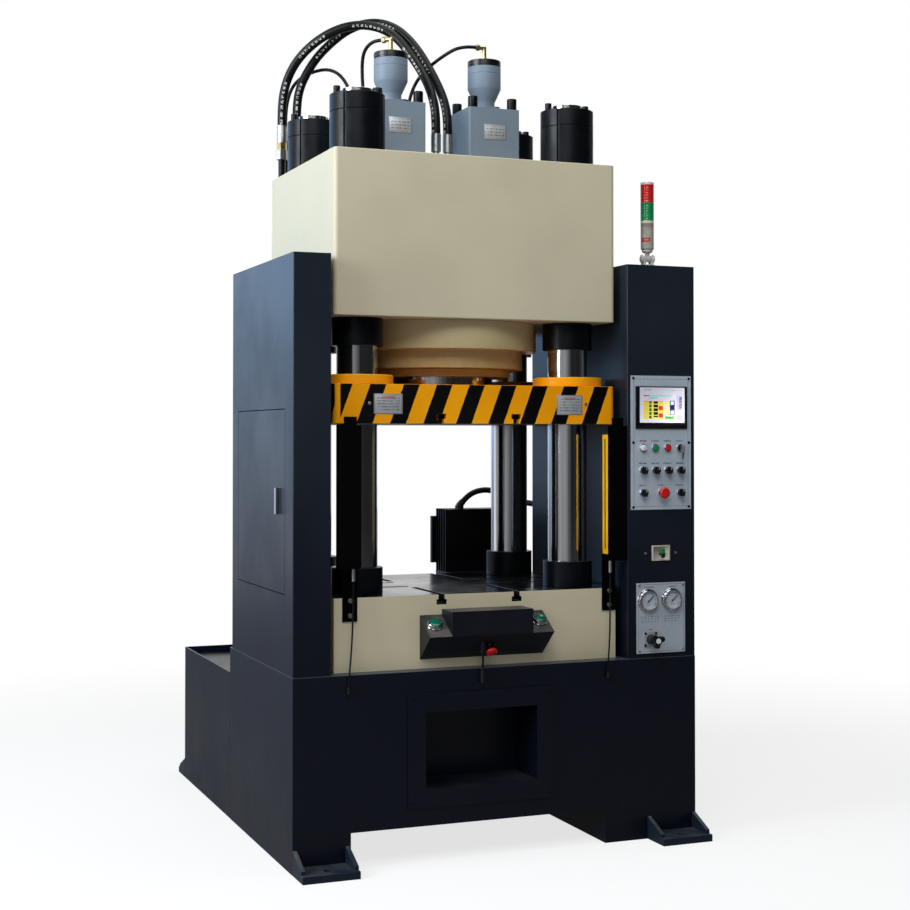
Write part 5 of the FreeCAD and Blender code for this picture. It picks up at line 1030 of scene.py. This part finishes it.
for name, (spots, radius, tall, way, metal) in SCREW_ROWS.items():
    row = copies(name, TEMPLATE, spots, way, (radius, radius, tall))
    settled(row, metal, "frame", label="cap_screws")
bpy.data.objects.remove(TEMPLATE)
print("screws set:", sum(len(row[0]) for row in SCREW_ROWS.values()))

# %% [markdown]
# The two operator panels are brushed plates with a thin printed frame, small printed words over
# each switch and tick tables under the gauges. Words become short broken marks of no language.
# A drawn picture would blur close up. Masks counted from the middle of each panel stay sharp,
# and they stay in line with the switches, which are placed from the same middle.

# %% Panel faces
HALF_LINE = 0.0006


def letters(paint, size=620.0):
    """Breaks a bar up into strokes, like print that is too small to read."""
    return paint.noise(size, 2.0, where=paint.stretched(1.0, 1.0, 0.35)) > 0.47


def brushed_panel(name, middle, half, line_in, tone, marks):
    """Brushed face, printed frame line, painted edge highlight; marks adds masks and their inks.
    """
    plate = Finish(name, Metallic=0.35)
    grain = plate.noise(46.0, 5.0, 0.65, where=plate.stretched(9.0, 1.0, 1.0))
    broad = plate.noise(7.0, 3.0)
    front = plate.normal()[1] < -0.7
    side = abs(plate.x - middle[0])
    rise = abs(plate.z - middle[1])
    low_x, low_z = half[0] - line_in, half[1] - line_in
    edge = side.between(low_x - HALF_LINE, low_x + HALF_LINE) * (rise < low_z)
    edge = edge.most(rise.between(low_z - HALF_LINE, low_z + HALF_LINE) * (side < low_x))
    face = plate.mix(grain.ramp(0.25, 0.75), scaled(tone, 0.86), tone)
    face = plate.mix(broad.ramp(0.55, 0.8) * 0.2, face, shade(128, 130, 132))
    face = plate.mix(edge * front * 0.8, face, shade(66, 70, 76))
    for mask, ink in marks(plate):
        face = plate.mix(mask * front * 0.8, face, ink)
    # Painted highlight: a pale strip along the panel's outer edge, where the plate's edge catches
    # light.
    rim = (side > half[0] - 2 * HALF_LINE).most(rise > half[1] - 2 * HALF_LINE)
    face = plate.mix(rim * 0.6, face, shade(206, 208, 210))
    return plate.send(Base_Color=face, Roughness=grain * 0.18 + 0.3,
                      Normal=plate.bump(grain, 0.00008, 0.3))


def switch_words(plate):
    """One word over each switch: four columns in the upper rows, three in the last."""
    across = plate.x - CONTROL_AT.x
    fours = (across / 0.05).fraction().between(0.18, 0.82)
    threes = (across / 0.075 + 0.5).fraction().between(0.30, 0.70)
    width = abs(across) < 0.094
    broken = letters(plate)
    first = plate.z.between(1.4105, 1.4155) * fours * width * broken
    others = plate.z.between(1.3305, 1.3355) * fours * width
    others = others.most(plate.z.between(1.2525, 1.2570) * threes * width) * broken
    red = first * (across < -0.0505)
    return [(first.most(others), shade(52, 56, 62)), (red, shade(196, 52, 48))]


def tick_tables(plate):
    """Two tables of small marks under the gauges and a word over each and over the valve."""
    broken = letters(plate, 700.0)
    rows = ((plate.z - 0.765) / 0.0085).fraction().between(0.3, 0.72)
    columns = ((plate.x - 0.5265) / 0.0135).fraction().between(0.22, 0.78)
    tables = plate.x.between(0.5265, 0.6010).most(plate.x.between(0.6165, 0.6920))
    grid = rows * columns * tables * plate.z.between(0.765, 0.7905) * broken
    words = plate.z.between(0.8895, 0.8940) * plate.x.between(0.5420, 0.5830).most(
        plate.x.between(0.6420, 0.6720))
    words = words.most(plate.z.between(0.7385, 0.7425) * plate.x.between(0.5575, 0.5745))
    first_row = grid * (plate.z > 0.7820) * (abs(plate.x - 0.612) > 0.02)
    return [(grid.most(words * broken), shade(66, 70, 78)),
            (first_row * (plate.noise(90.0) > 0.55), shade(150, 60, 56))]


CONTROL_FACE = brushed_panel("ControlFace", CONTROL_AT, CONTROL_HALF, 0.012,
                             shade(210, 224, 238), switch_words)
GAUGE_FACE = brushed_panel("GaugeFace", GAUGES_AT, GAUGES_HALF, 0.006,
                           shade(196, 207, 219), tick_tables)
dress(eased("control_panel", 0.0005), CONTROL_FACE)
dress(eased("gauge_panel", 0.0005), GAUGE_FACE)
print("panel faces printed")

# %% [markdown]
# The touch screen is a black frame with a glass let into it. The picture on the glass is a
# plain set of tables and keys of no maker: yellow cells, three coloured columns, a blue box,
# a green key and a lavender strip. It glows a little, so it reads in the dark cabinet. The
# frame is a bevelled box, whose front face is inset, moved to the glass's place and pushed in.

# %% Touch screen
SCREEN_LOW = Vector((0.5235, 1.4780))
SCREEN_HIGH = Vector((0.7060, 1.6040))


def screen_picture():
    """Glass with the picture's fields as layers; u runs to the right and v upwards, 0 to 1."""
    glass = Finish("ScreenPicture", Roughness=0.16, Specular_IOR_Level=0.5,
                   Emission_Strength=0.45)
    u = (glass.x - SCREEN_LOW.x) / (SCREEN_HIGH.x - SCREEN_LOW.x)
    v = (glass.z - SCREEN_LOW.y) / (SCREEN_HIGH.y - SCREEN_LOW.y)
    rows = ((v - 0.107) / 0.105).fraction().between(0.12, 0.88)
    lines = ((v - 0.107) / 0.0525).fraction().between(0.3, 0.7)
    table = v.between(0.107, 0.632)
    tone = glass.mottled(glass.noise(40.0), shade(214, 213, 228), shade(226, 224, 236))
    layers = [
        (u.between(0.08, 0.26) * v.between(0.90, 0.97) * 0.5, shade(140, 180, 186)),
        (u.between(0.71, 0.93) * v.between(0.905, 0.935) * letters(glass) * 0.6,
         shade(180, 150, 190)),
        (u.between(0.08, 0.71) * v.between(0.747, 0.782), shade(150, 224, 214)),
        (u.between(0.08, 0.21) * v.between(0.752, 0.782), shade(204, 70, 60)),
        (u.between(0.20, 0.40) * v.between(0.675, 0.73), shade(156, 214, 232)),
        (u.between(0.08, 0.525) * v.between(0.107, 0.60), shade(240, 222, 96)),
        (u.between(0.08, 0.525) * v.between(0.60, 0.632) * lines, shade(216, 110, 60)),
        (u.between(0.09, 0.20) * table * lines * 0.6, shade(196, 168, 40)),
        (u.between(0.21, 0.265) * v.between(0.107, 0.60) * rows, shade(20, 104, 60)),
        (u.between(0.31, 0.405) * v.between(0.16, 0.60) * rows, shade(22, 26, 22)),
        (u.between(0.42, 0.515) * v.between(0.107, 0.56)
         * ((v - 0.107) / 0.21).fraction().between(0.2, 0.75), shade(222, 60, 40)),
        (u.between(0.55, 0.655) * v.between(0.227, 0.627), shade(244, 238, 190)),
        (u.between(0.55, 0.655) * v.between(0.227, 0.627) * lines, shade(236, 204, 70)),
        (u.between(0.67, 0.777) * v.between(0.227, 0.627), shade(34, 36, 92)),
        (u.between(0.69, 0.757) * v.between(0.245, 0.345).most(v.between(0.51, 0.61)),
         shade(232, 234, 240)),
        (u.between(0.56, 0.765) * v.between(0.107, 0.18), shade(84, 190, 36)),
        (u.between(0.824, 0.94) * v.between(0.08, 0.773), shade(200, 192, 228)),
        (u.between(0.88, 0.94) * v.between(0.40, 0.74) * letters(glass), shade(96, 92, 110))]
    for mask, ink in layers:
        tone = glass.mix(mask, tone, ink)
    grain = glass.noise(900.0, 1.0)
    return glass.send(Base_Color=tone, Emission_Color=tone, Roughness=grain * 0.08 + 0.12,
                      Normal=glass.bump(grain, 0.00002, 0.2))


def edit_front(piece, least_area):
    """Enters edit mode with only the large face towards the front selected."""
    only(piece)
    bpy.ops.object.mode_set(mode="EDIT")
    bpy.ops.mesh.select_all(action="DESELECT")
    bpy.ops.object.mode_set(mode="OBJECT")
    for face in piece.data.polygons:
        face.select = face.normal.y < -0.99 and face.area > least_area
    bpy.ops.object.mode_set(mode="EDIT")


def sink(depth):
    """Extrudes the selected face backwards into its piece."""
    bpy.ops.mesh.extrude_region_move(TRANSFORM_OT_translate={"value": (0, depth, 0)})


CASE_LOW, CASE_HIGH = Vector((508, -827, 1456)), Vector((716, -821.8, 1608))
CASE_EDGE, CASE_RIM = 1.2, 4.0
screen = slab("TouchScreen", CASE_LOW, CASE_HIGH, CASE_EDGE, BLACK_CAP, label="touch_panel")
screen.data.materials.append(screen_picture())
edit_front(screen, 0.01)
bpy.ops.mesh.inset(thickness=CASE_RIM / 1000)
wide, _, tall = (CASE_HIGH - CASE_LOW) / 1000
lost = 2 * (CASE_EDGE + CASE_RIM) / 1000
wanted = SCREEN_HIGH - SCREEN_LOW
centre = (CASE_LOW + CASE_HIGH) / 2000
shift = (SCREEN_LOW + SCREEN_HIGH) / 2 - centre.xz
bpy.ops.transform.resize(value=(wanted.x / (wide - lost), 1, wanted.y / (tall - lost)),
                         center_override=(centre.x, CASE_LOW.y / 1000, centre.z))
bpy.ops.transform.translate(value=(shift.x, 0, shift.y))
sink(0.0016)
bpy.context.object.active_material_index = 1
bpy.ops.object.material_slot_assign()
bpy.ops.object.mode_set(mode="OBJECT")
slab("TouchScreenBack", (517.2, -822, 1465.2), (706.8, -780, 1598.8), 1.0, BLACK_CAP,
     label="touch_panel")
print("screen glazed")

# %% [markdown]
# Every switch sits in the same round bezel: a polished ring in front of the panel and a plain
# body behind it. The ring is turned once and copied to eleven places, which keeps them all
# alike, and the copies are joined, because they never move. The caps and knobs do move, so each
# keeps its own solid. A ring with a spare key hangs from the key switch.

# %% Switch bezels and caps
BEZEL = [(0, -48), (14.5, -48), (14.5, -3), (10.8, -3), (10.8, 0), (14.5, 0), (14.5, 5.2),
         (13.4, 7), (11.6, 7), (10.9, 6.3), (10.9, 1), (7.9, 1), (7.9, -25), (0, -25)]
ROWS = [(1.388, (-75, -25, 25, 75)), (1.308, (-75, -25, 25, 75)), (1.228, (-75, 0, 75))]
SWITCHES = [(CONTROL_AT.x + across / 1000, PANEL_FRONT, z) for z, places in ROWS
            for across in places]
ring = spun("PanelBezels", BEZEL, (0, 0, 0), UPWARD, CHROME)
rings = copies("PanelBezels", ring, SWITCHES, FRONTWARD)
bpy.data.objects.remove(ring)
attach(rings, "frame")
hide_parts("switch_bodies")
spun("LampCap", [(0, 1), (10.4, 1), (10.4, 12.5), (9, 14.6), (5, 15.8), (0, 16)], SWITCHES[0],
     FRONTWARD, WHITE_CAP, label="switch_bodies")
dress(eased("push_green", 0.0011, 3), GREEN)
dress(eased("push_red", 0.0011, 3), RED)
repaint(dress(eased("key_switch", 0.0005), BLACK_CAP), ZINC, lambda spot: spot.y < -0.8300)
slab("SpareKey", (683.4, -846, 1347), (690.6, -844.4, 1371), 0.7, ZINC, body="key_switch")
slab("SpareKeyBow", (681.2, -846.6, 1361), (692.8, -843.8, 1372), 1.2, ZINC, 3, "key_switch")
spun("KeyRing", [(6.2, -0.8), (7.8, -0.8), (7.8, 0.8), (6.2, 0.8), (6.2, -0.8)],
     (0.687, -0.845, 1.377), FRONTWARD, ZINC, 32, "key_switch")


def knob_black():
    """Black plastic with a white index line on the upper half of each knob's grip."""
    knob = Finish("KnobBlack", Roughness=0.36)
    line = ((knob.x - CONTROL_AT.x) / 0.05).fraction().between(0.482, 0.518)
    upper = knob.z.between(1.3105, 1.3215).most(knob.z.between(1.2305, 1.2415))
    mark = line * upper * (knob.y < -0.8530)
    cloud = knob.noise(80.0, 4.0)
    tone = knob.mottled(cloud, shade(11, 11, 12), shade(20, 20, 22))
    return knob.moulded(knob.mix(mark, tone, shade(226, 226, 222)), cloud, 0.3, 0.44, 500.0,
                        0.00008)


KNOB = knob_black()
for i in range(1, 7):
    dress(eased(f"selector_{i}", 0.0014, 3), KNOB)
repaint(dress(eased("panel_estop", 0.0022, 4), RED), BLACK_CAP, lambda spot: spot.y > -0.8410)
print("switches fitted:", len(SWITCHES))

# %% [markdown]
# Below the panel a small beige plate carries the main switch, whose rocker is green above and
# dark below. Its corners are rounded and a shallow step runs round it. The step and the window
# for the rocker both come from the front face: it is inset and pushed in, and then once more.

# %% Main switch
PLATE_BEIGE = plastic("BeigePlate", shade(186, 182, 166), 0.42)
main_plate = slab("MainSwitchPlate", (573.5, -825, 985), (646.5, -819, 1040), 1.6, PLATE_BEIGE,
                  3, label="switch_bodies")
edit_front(main_plate, 0.002)
bpy.ops.mesh.inset(thickness=0.004)
sink(0.0008)
bpy.ops.mesh.inset(thickness=0.0135)
bpy.ops.transform.resize(value=(0.46, 1, 1),
                         center_override=(MAIN_SWITCH[0], -0.825, MAIN_SWITCH[1]))
sink(0.0035)
bpy.ops.object.mode_set(mode="OBJECT")
slab("MainSwitchBody", (587, -819, 989.5), (633, -762, 1035.5), 1.0, BLACK_CAP,
     label="switch_bodies")


def lever_paint():
    """Green above the rocker's axis and dark blue below it."""
    lever = Finish("LeverTwoTone", Roughness=0.32)
    cloud = lever.noise(90.0, 3.0)
    dark = lever.mottled(cloud, shade(14, 16, 26), shade(22, 25, 36))
    green = lever.mottled(cloud, shade(14, 104, 48), shade(22, 128, 62))
    return lever.moulded(lever.mix(lever.z > MAIN_SWITCH[1], dark, green), cloud, 0.26, 0.4,
                         400.0)


dress(eased("isolator_lever", 0.0012, 3), lever_paint())
print("main switch fitted")

# %% [markdown]
# A pressure gauge is a chromed case with a stepped bezel, a pale dial printed with a scale, and
# a black needle. A scale of separate strokes would be sixty thin pieces. It is drawn by the
# angle round the dial instead: a fraction of the turn gives short strokes, a fifth of them long.

# %% Gauges
GAUGE_CASE = [(0, -45), (30, -45), (30, -6), (30, 0), (42, 0), (42, 1.8), (41, 3), (37, 3.4),
              (35.4, 5), (35.4, 9), (36.2, 10), (36.2, 13.6), (35.2, 15.6), (33.8, 16),
              (32.2, 15.4), (31.4, 13), (31, 9), (31, 7.6), (2.4, 7.6), (2.4, 0), (0, 0)]
GAUGE_DIAL = [(2.4, 7.6), (2.4, 8.2), (30.9, 8.2), (30.9, 7.6)]
GAUGE_BLEED = [(0, 6.5), (2.6, 6.5), (3.4, 6), (3.6, 3), (0, 3)]
GAUGE_Z = 0.844


def dial_print(name, at_x, at_z):
    """Pale dial with 50 short strokes, 10 long ones, small figures' places and a red limit."""
    dial = Finish(name, Roughness=0.3)
    across = dial.x - at_x
    up = dial.z - at_z
    out = (across * across + up * up).power(0.5)
    angle = dial.node("ShaderNodeMath", {"operation": "ARCTAN2"}, _0=across, _1=up)
    turns = angle / math.tau
    open_part = abs(turns) < 0.375
    short = (turns * 66.667).fraction().between(0.0, 0.28)
    long = (turns * 13.3333).fraction().between(0.0, 0.09)
    strokes = (short * out.between(0.0245, 0.0275)).most(long * out.between(0.0225, 0.0275))
    arc = out.between(0.0277, 0.0282)
    broken = letters(dial, 900.0)
    digits = (turns * 13.3333 + 0.5).fraction().between(0.38, 0.62) * broken
    ink = strokes.most(arc).most(out.between(0.0165, 0.0205) * digits) * open_part
    word = up.between(-0.0155, -0.0125) * (abs(across) < 0.007) * broken
    base = dial.mottled(dial.noise(30.0), shade(180, 188, 198), shade(194, 202, 210))
    tone = dial.mix(ink.most(word), base, shade(44, 48, 58))
    limit = out.between(0.0283, 0.0292) * turns.between(0.29, 0.375)
    tone = dial.mix(limit, tone, shade(196, 40, 36))
    return dial.send(Base_Color=tone, Roughness=dial.noise(60.0) * 0.1 + 0.24,
                     Normal=dial.bump(dial.noise(800.0, 2.0), 0.00003, 0.2))


for tag, x in (("Left", 0.557), ("Right", 0.653)):
    spot = (x, PANEL_FRONT, GAUGE_Z)
    face = dial_print("DialPrint" + tag, x, GAUGE_Z)
    for name, outline, at, metal, steps in (
            ("GaugeCase", GAUGE_CASE, spot, CHROME, 56), ("GaugeDial", GAUGE_DIAL, spot, face, 56),
            ("GaugeBleed", GAUGE_BLEED, (x - 0.0385, PANEL_FRONT, 0.8335), BRASS, 16)):
        spun(name + tag, outline, at, FRONTWARD, metal, steps, label="gauge_fittings")
    dress(eased("gauge_pointer_" + tag.lower(), 0.0004), BLACK_CAP)
print("gauges hung")

# %% [markdown]
# The hand valve under the gauges has a square flange, a ribbed black body and a three-lobed
# handle with a white disc in its middle. Flange and body stand still, so they are new pieces
# for looks alone, while the handle turns and keeps its solid with rounder edges.

# %% Hand valve
FLANGE_GREY = plastic("FlangeGrey", shade(150, 153, 156), 0.4)
slab("HandValveFlange", (539, -826, 680), (593, -822, 734), 1.0, FLANGE_GREY,
     label="gauge_fittings")
VALVE_BODY = [(5.4, 4), (16, 4), (18, 6), (18, 14), (17, 15), (17, 17), (18, 18), (18, 26),
              (17, 27), (17, 29), (18, 30), (18, 38), (16.5, 42), (5.4, 42)]
spun("HandValveBody", VALVE_BODY, (HAND_VALVE[0], PANEL_FRONT, HAND_VALVE[1]), FRONTWARD,
     BLACK_CAP, label="gauge_fittings")
dress(eased("hand_valve_handle", 0.0025, 3), BLACK_CAP)
spun("HandValveDisc", [(0, -1), (9.2, -1), (9.6, 0), (9.2, 0.7), (6, 1), (0, 1)],
     (HAND_VALVE[0], -0.885, HAND_VALVE[1]), FRONTWARD, WHITE_CAP, 28, "hand_valve_handle")
print("hand valve fitted")

# %% [markdown]
# The signal tower is a warm grey tube with a pale ring, a green and a red lens and a small cap.
# It folds down on a knuckle between two clamping knobs. The lenses are ribbed. Displaced rings
# would need a dense mesh; here the ribs are part of the outline that is spun, so each costs
# three points.

# %% Signal tower
TOWER_AT = Vector((0.614, -0.717, 0.0))
KNUCKLE_AT = Vector((0.614, -0.717, 2.076))
LENS = 24.5


def ribbed(low, high, radius, pitch):
    """Half the outline of a lens with shallow rings between two heights."""
    outline = [(0, low), (radius - 0.6, low), (radius, low + 0.8)]
    level = low + pitch
    while level < high - pitch / 2:
        outline += [(radius, level - 1.0), (radius - 0.5, level), (radius, level + 1.0)]
        level += pitch
    return outline + [(radius, high - 0.8), (radius - 0.6, high), (0, high)]


def tower_tube():
    """Warm grey with a pale ring above, a red label and a blue-grey one towards the front."""
    tube = Finish("TowerTube", Roughness=0.4)
    front = tube.y < -0.722
    label = tube.z.between(2.136, 2.151) * front * (tube.x < 0.6135)
    inner = tube.z.between(2.1415, 2.1455) * tube.x.between(0.594, 0.608)
    blue = tube.z.between(2.137, 2.150) * front * (tube.x > 0.6155)
    cloud = tube.noise(26.0, 4.0)
    tone = tube.mottled(cloud, shade(158, 156, 144), shade(178, 176, 164))
    tone = tube.mix(tube.z > 2.2055, tone, shade(216, 213, 202))
    tone = tube.mix(tube.z.between(2.190, 2.2035) * 0.5, tone, shade(128, 104, 92))
    tone = tube.mix(label * (1 - inner), tone, shade(206, 40, 38))
    tone = tube.mix(blue * 0.5, tone, shade(150, 164, 186))
    return tube.moulded(tone, cloud, 0.32, 0.5)


TUBE = [(0, 2110), (22.5, 2110), (24, 2112), (24, 2204), (24.5, 2206), (24.5, 2213.4),
        (24, 2214), (0, 2214)]
TOWER_CAP = [(0, 2346), (24.5, 2346), (24.5, 2353), (22.5, 2355.6), (0, 2356)]
TOWER_NECK = [(0, 2076), (8, 2078), (8, 2092), (10, 2096), (18, 2100), (20, 2102), (20, 2110),
              (0, 2110)]
KNUCKLE = [(4.4, -10.8), (10.5, -10.8), (12, -9.3), (12, 9.3), (10.5, 10.8), (4.4, 10.8)]
KNOB_CAP = [(0, 0), (13, 0), (15, 1.4), (15.6, 3), (15, 4.8), (12.5, 6.4), (0, 7)]
TOWER = {
    "TowerTube": (TUBE, TOWER_AT, UPWARD, tower_tube(), 40),
    "TowerGreenLens": (ribbed(2214, 2280, LENS, 9.4), TOWER_AT, UPWARD, GREEN_LENS, 48),
    "TowerRedLens": (ribbed(2280, 2346, LENS, 9.4), TOWER_AT, UPWARD, RED_LENS, 48),
    "TowerCap": (TOWER_CAP, TOWER_AT, UPWARD, PALE_BODY, 40),
    "TowerNeck": (TOWER_NECK, TOWER_AT, UPWARD, PALE_BODY, 32),
    "TowerKnuckle": (KNUCKLE, KNUCKLE_AT, (1, 0, 0), PALE_BODY, 32)}
for name, turned in TOWER.items():
    spun(name, *turned, "tower_light", "tower_light")
for tag, side in (("Left", -1), ("Right", 1)):
    spun("TowerKnob" + tag, KNOB_CAP, KNUCKLE_AT + Vector((side * 0.0193, 0, 0)), (side, 0, 0),
         PALE_BODY, 28)
dress(eased("tower_base", 0.0012, 3), PALE_BODY)
print("tower built")

# %% [markdown]
# The two-hand box is a folded black box. Each palm button sits in a thick chromed double ring,
# tilted with the box's slope, and the red stop points down at the front. Rings and caps are
# spun upright and then turned to the slope, which is easier than drawing them tilted.

# %% Two-hand box
PALM_RING = [(0, -30), (22, -30), (22, -3), (15.3, -3), (15.3, 0), (29, 0), (29, 3.4),
             (28.2, 4.4), (26.6, 4.8), (26.2, 5.6), (26.2, 10.2), (25.6, 12.6), (24.2, 14),
             (21.6, 14), (20.5, 13.2), (20.5, 4), (10.4, 4), (10.4, -20), (0, -20)]
PALM_CAP = [(0, -15), (9.9, -15), (9.9, 8.5), (19.9, 8.5), (19.9, 15.4), (19, 16.6), (14, 17.7),
            (0, 18)]
STOP_BASE = [(0, -48), (14.5, -48), (14.5, -3), (10.8, -3), (10.8, 0), (14.5, 0), (14.5, 5.5),
             (13.5, 7), (10.9, 7), (10.9, 1), (7.9, 1), (7.9, -25), (0, -25)]


def square_to(drop, depth, up):
    """The direction out of a slope of the box; up is 1 for the upper one, -1 for the lower."""
    tilt = math.atan(drop / depth)
    return Vector((0, -math.sin(tilt), up * math.cos(tilt)))


UPHILL = square_to(64, 102, 1)
DOWNHILL = square_to(86, 102, -1)
STOP_AT = Vector((-0.053, -0.820, 0.715))
for tag, x in (("Left", -0.255), ("Right", 0.133)):
    spot, button = (x, -0.820, 0.790), "palm_button_" + tag.lower()
    spun("PalmRing" + tag, PALM_RING, spot, UPHILL, CHROME, 56, label="switch_bodies")
    spun("PalmCap" + tag, PALM_CAP, spot, UPHILL, PALM_GREEN, 48, button, button)
spun("BoxStopBase", STOP_BASE, STOP_AT, DOWNHILL, BLACK_CAP, label="switch_bodies")
repaint(dress(eased("box_estop", 0.0022, 4), RED), BLACK_CAP,
        lambda spot: (spot - STOP_AT).dot(DOWNHILL) < 0.0185)
dress(eased("hand_box", 0.0018, 3), BOX_BLACK)
print("two-hand box dressed")

# %% [markdown]
# The light curtain is a pair of yellow extrusions with a dark window, each behind a folded
# black guard that zinc bolts hold to the bed. The window could be a thin dark block, but on the
# real bar it is flush, so it is paint. The left cabinet's door has a chromed handle.

# %% Light curtain, door handle
CURTAIN_X = -0.057


def curtain_yellow():
    """Yellow bar whose inner side, facing the other bar, has a dark glossy window."""
    bar = Finish("CurtainYellow", Roughness=0.38)
    facing = bar.normal()
    aside = abs(bar.x - CURTAIN_X)
    inward = (abs(facing[0]) > 0.8) * (aside < 0.4585)
    window = inward * (abs(bar.y + 0.795) < 0.004) * bar.z.between(1.03, 1.42)
    band = (facing[1] < -0.7) * (abs(aside - 0.478) < 0.0028) * bar.z.between(1.035, 1.41)
    cloud = bar.noise(9.0, 4.0)
    tone = bar.mottled(cloud, shade(244, 178, 0), shade(254, 196, 6))
    tone = bar.mix(window.most(band), tone, shade(16, 15, 16))
    return bar.moulded(tone, cloud, 0.3, 0.45)


dress(eased("light_bars", 0.002, 3), curtain_yellow())
repaint(dress(eased("bar_brackets", 0.001), GUARD_BLACK), ZINC,
        lambda spot: spot.y < -0.7745 and spot.z < 0.9)
dress(eased("door_left_handle", 0.002, 3), CHROME)
print("light curtain dressed")
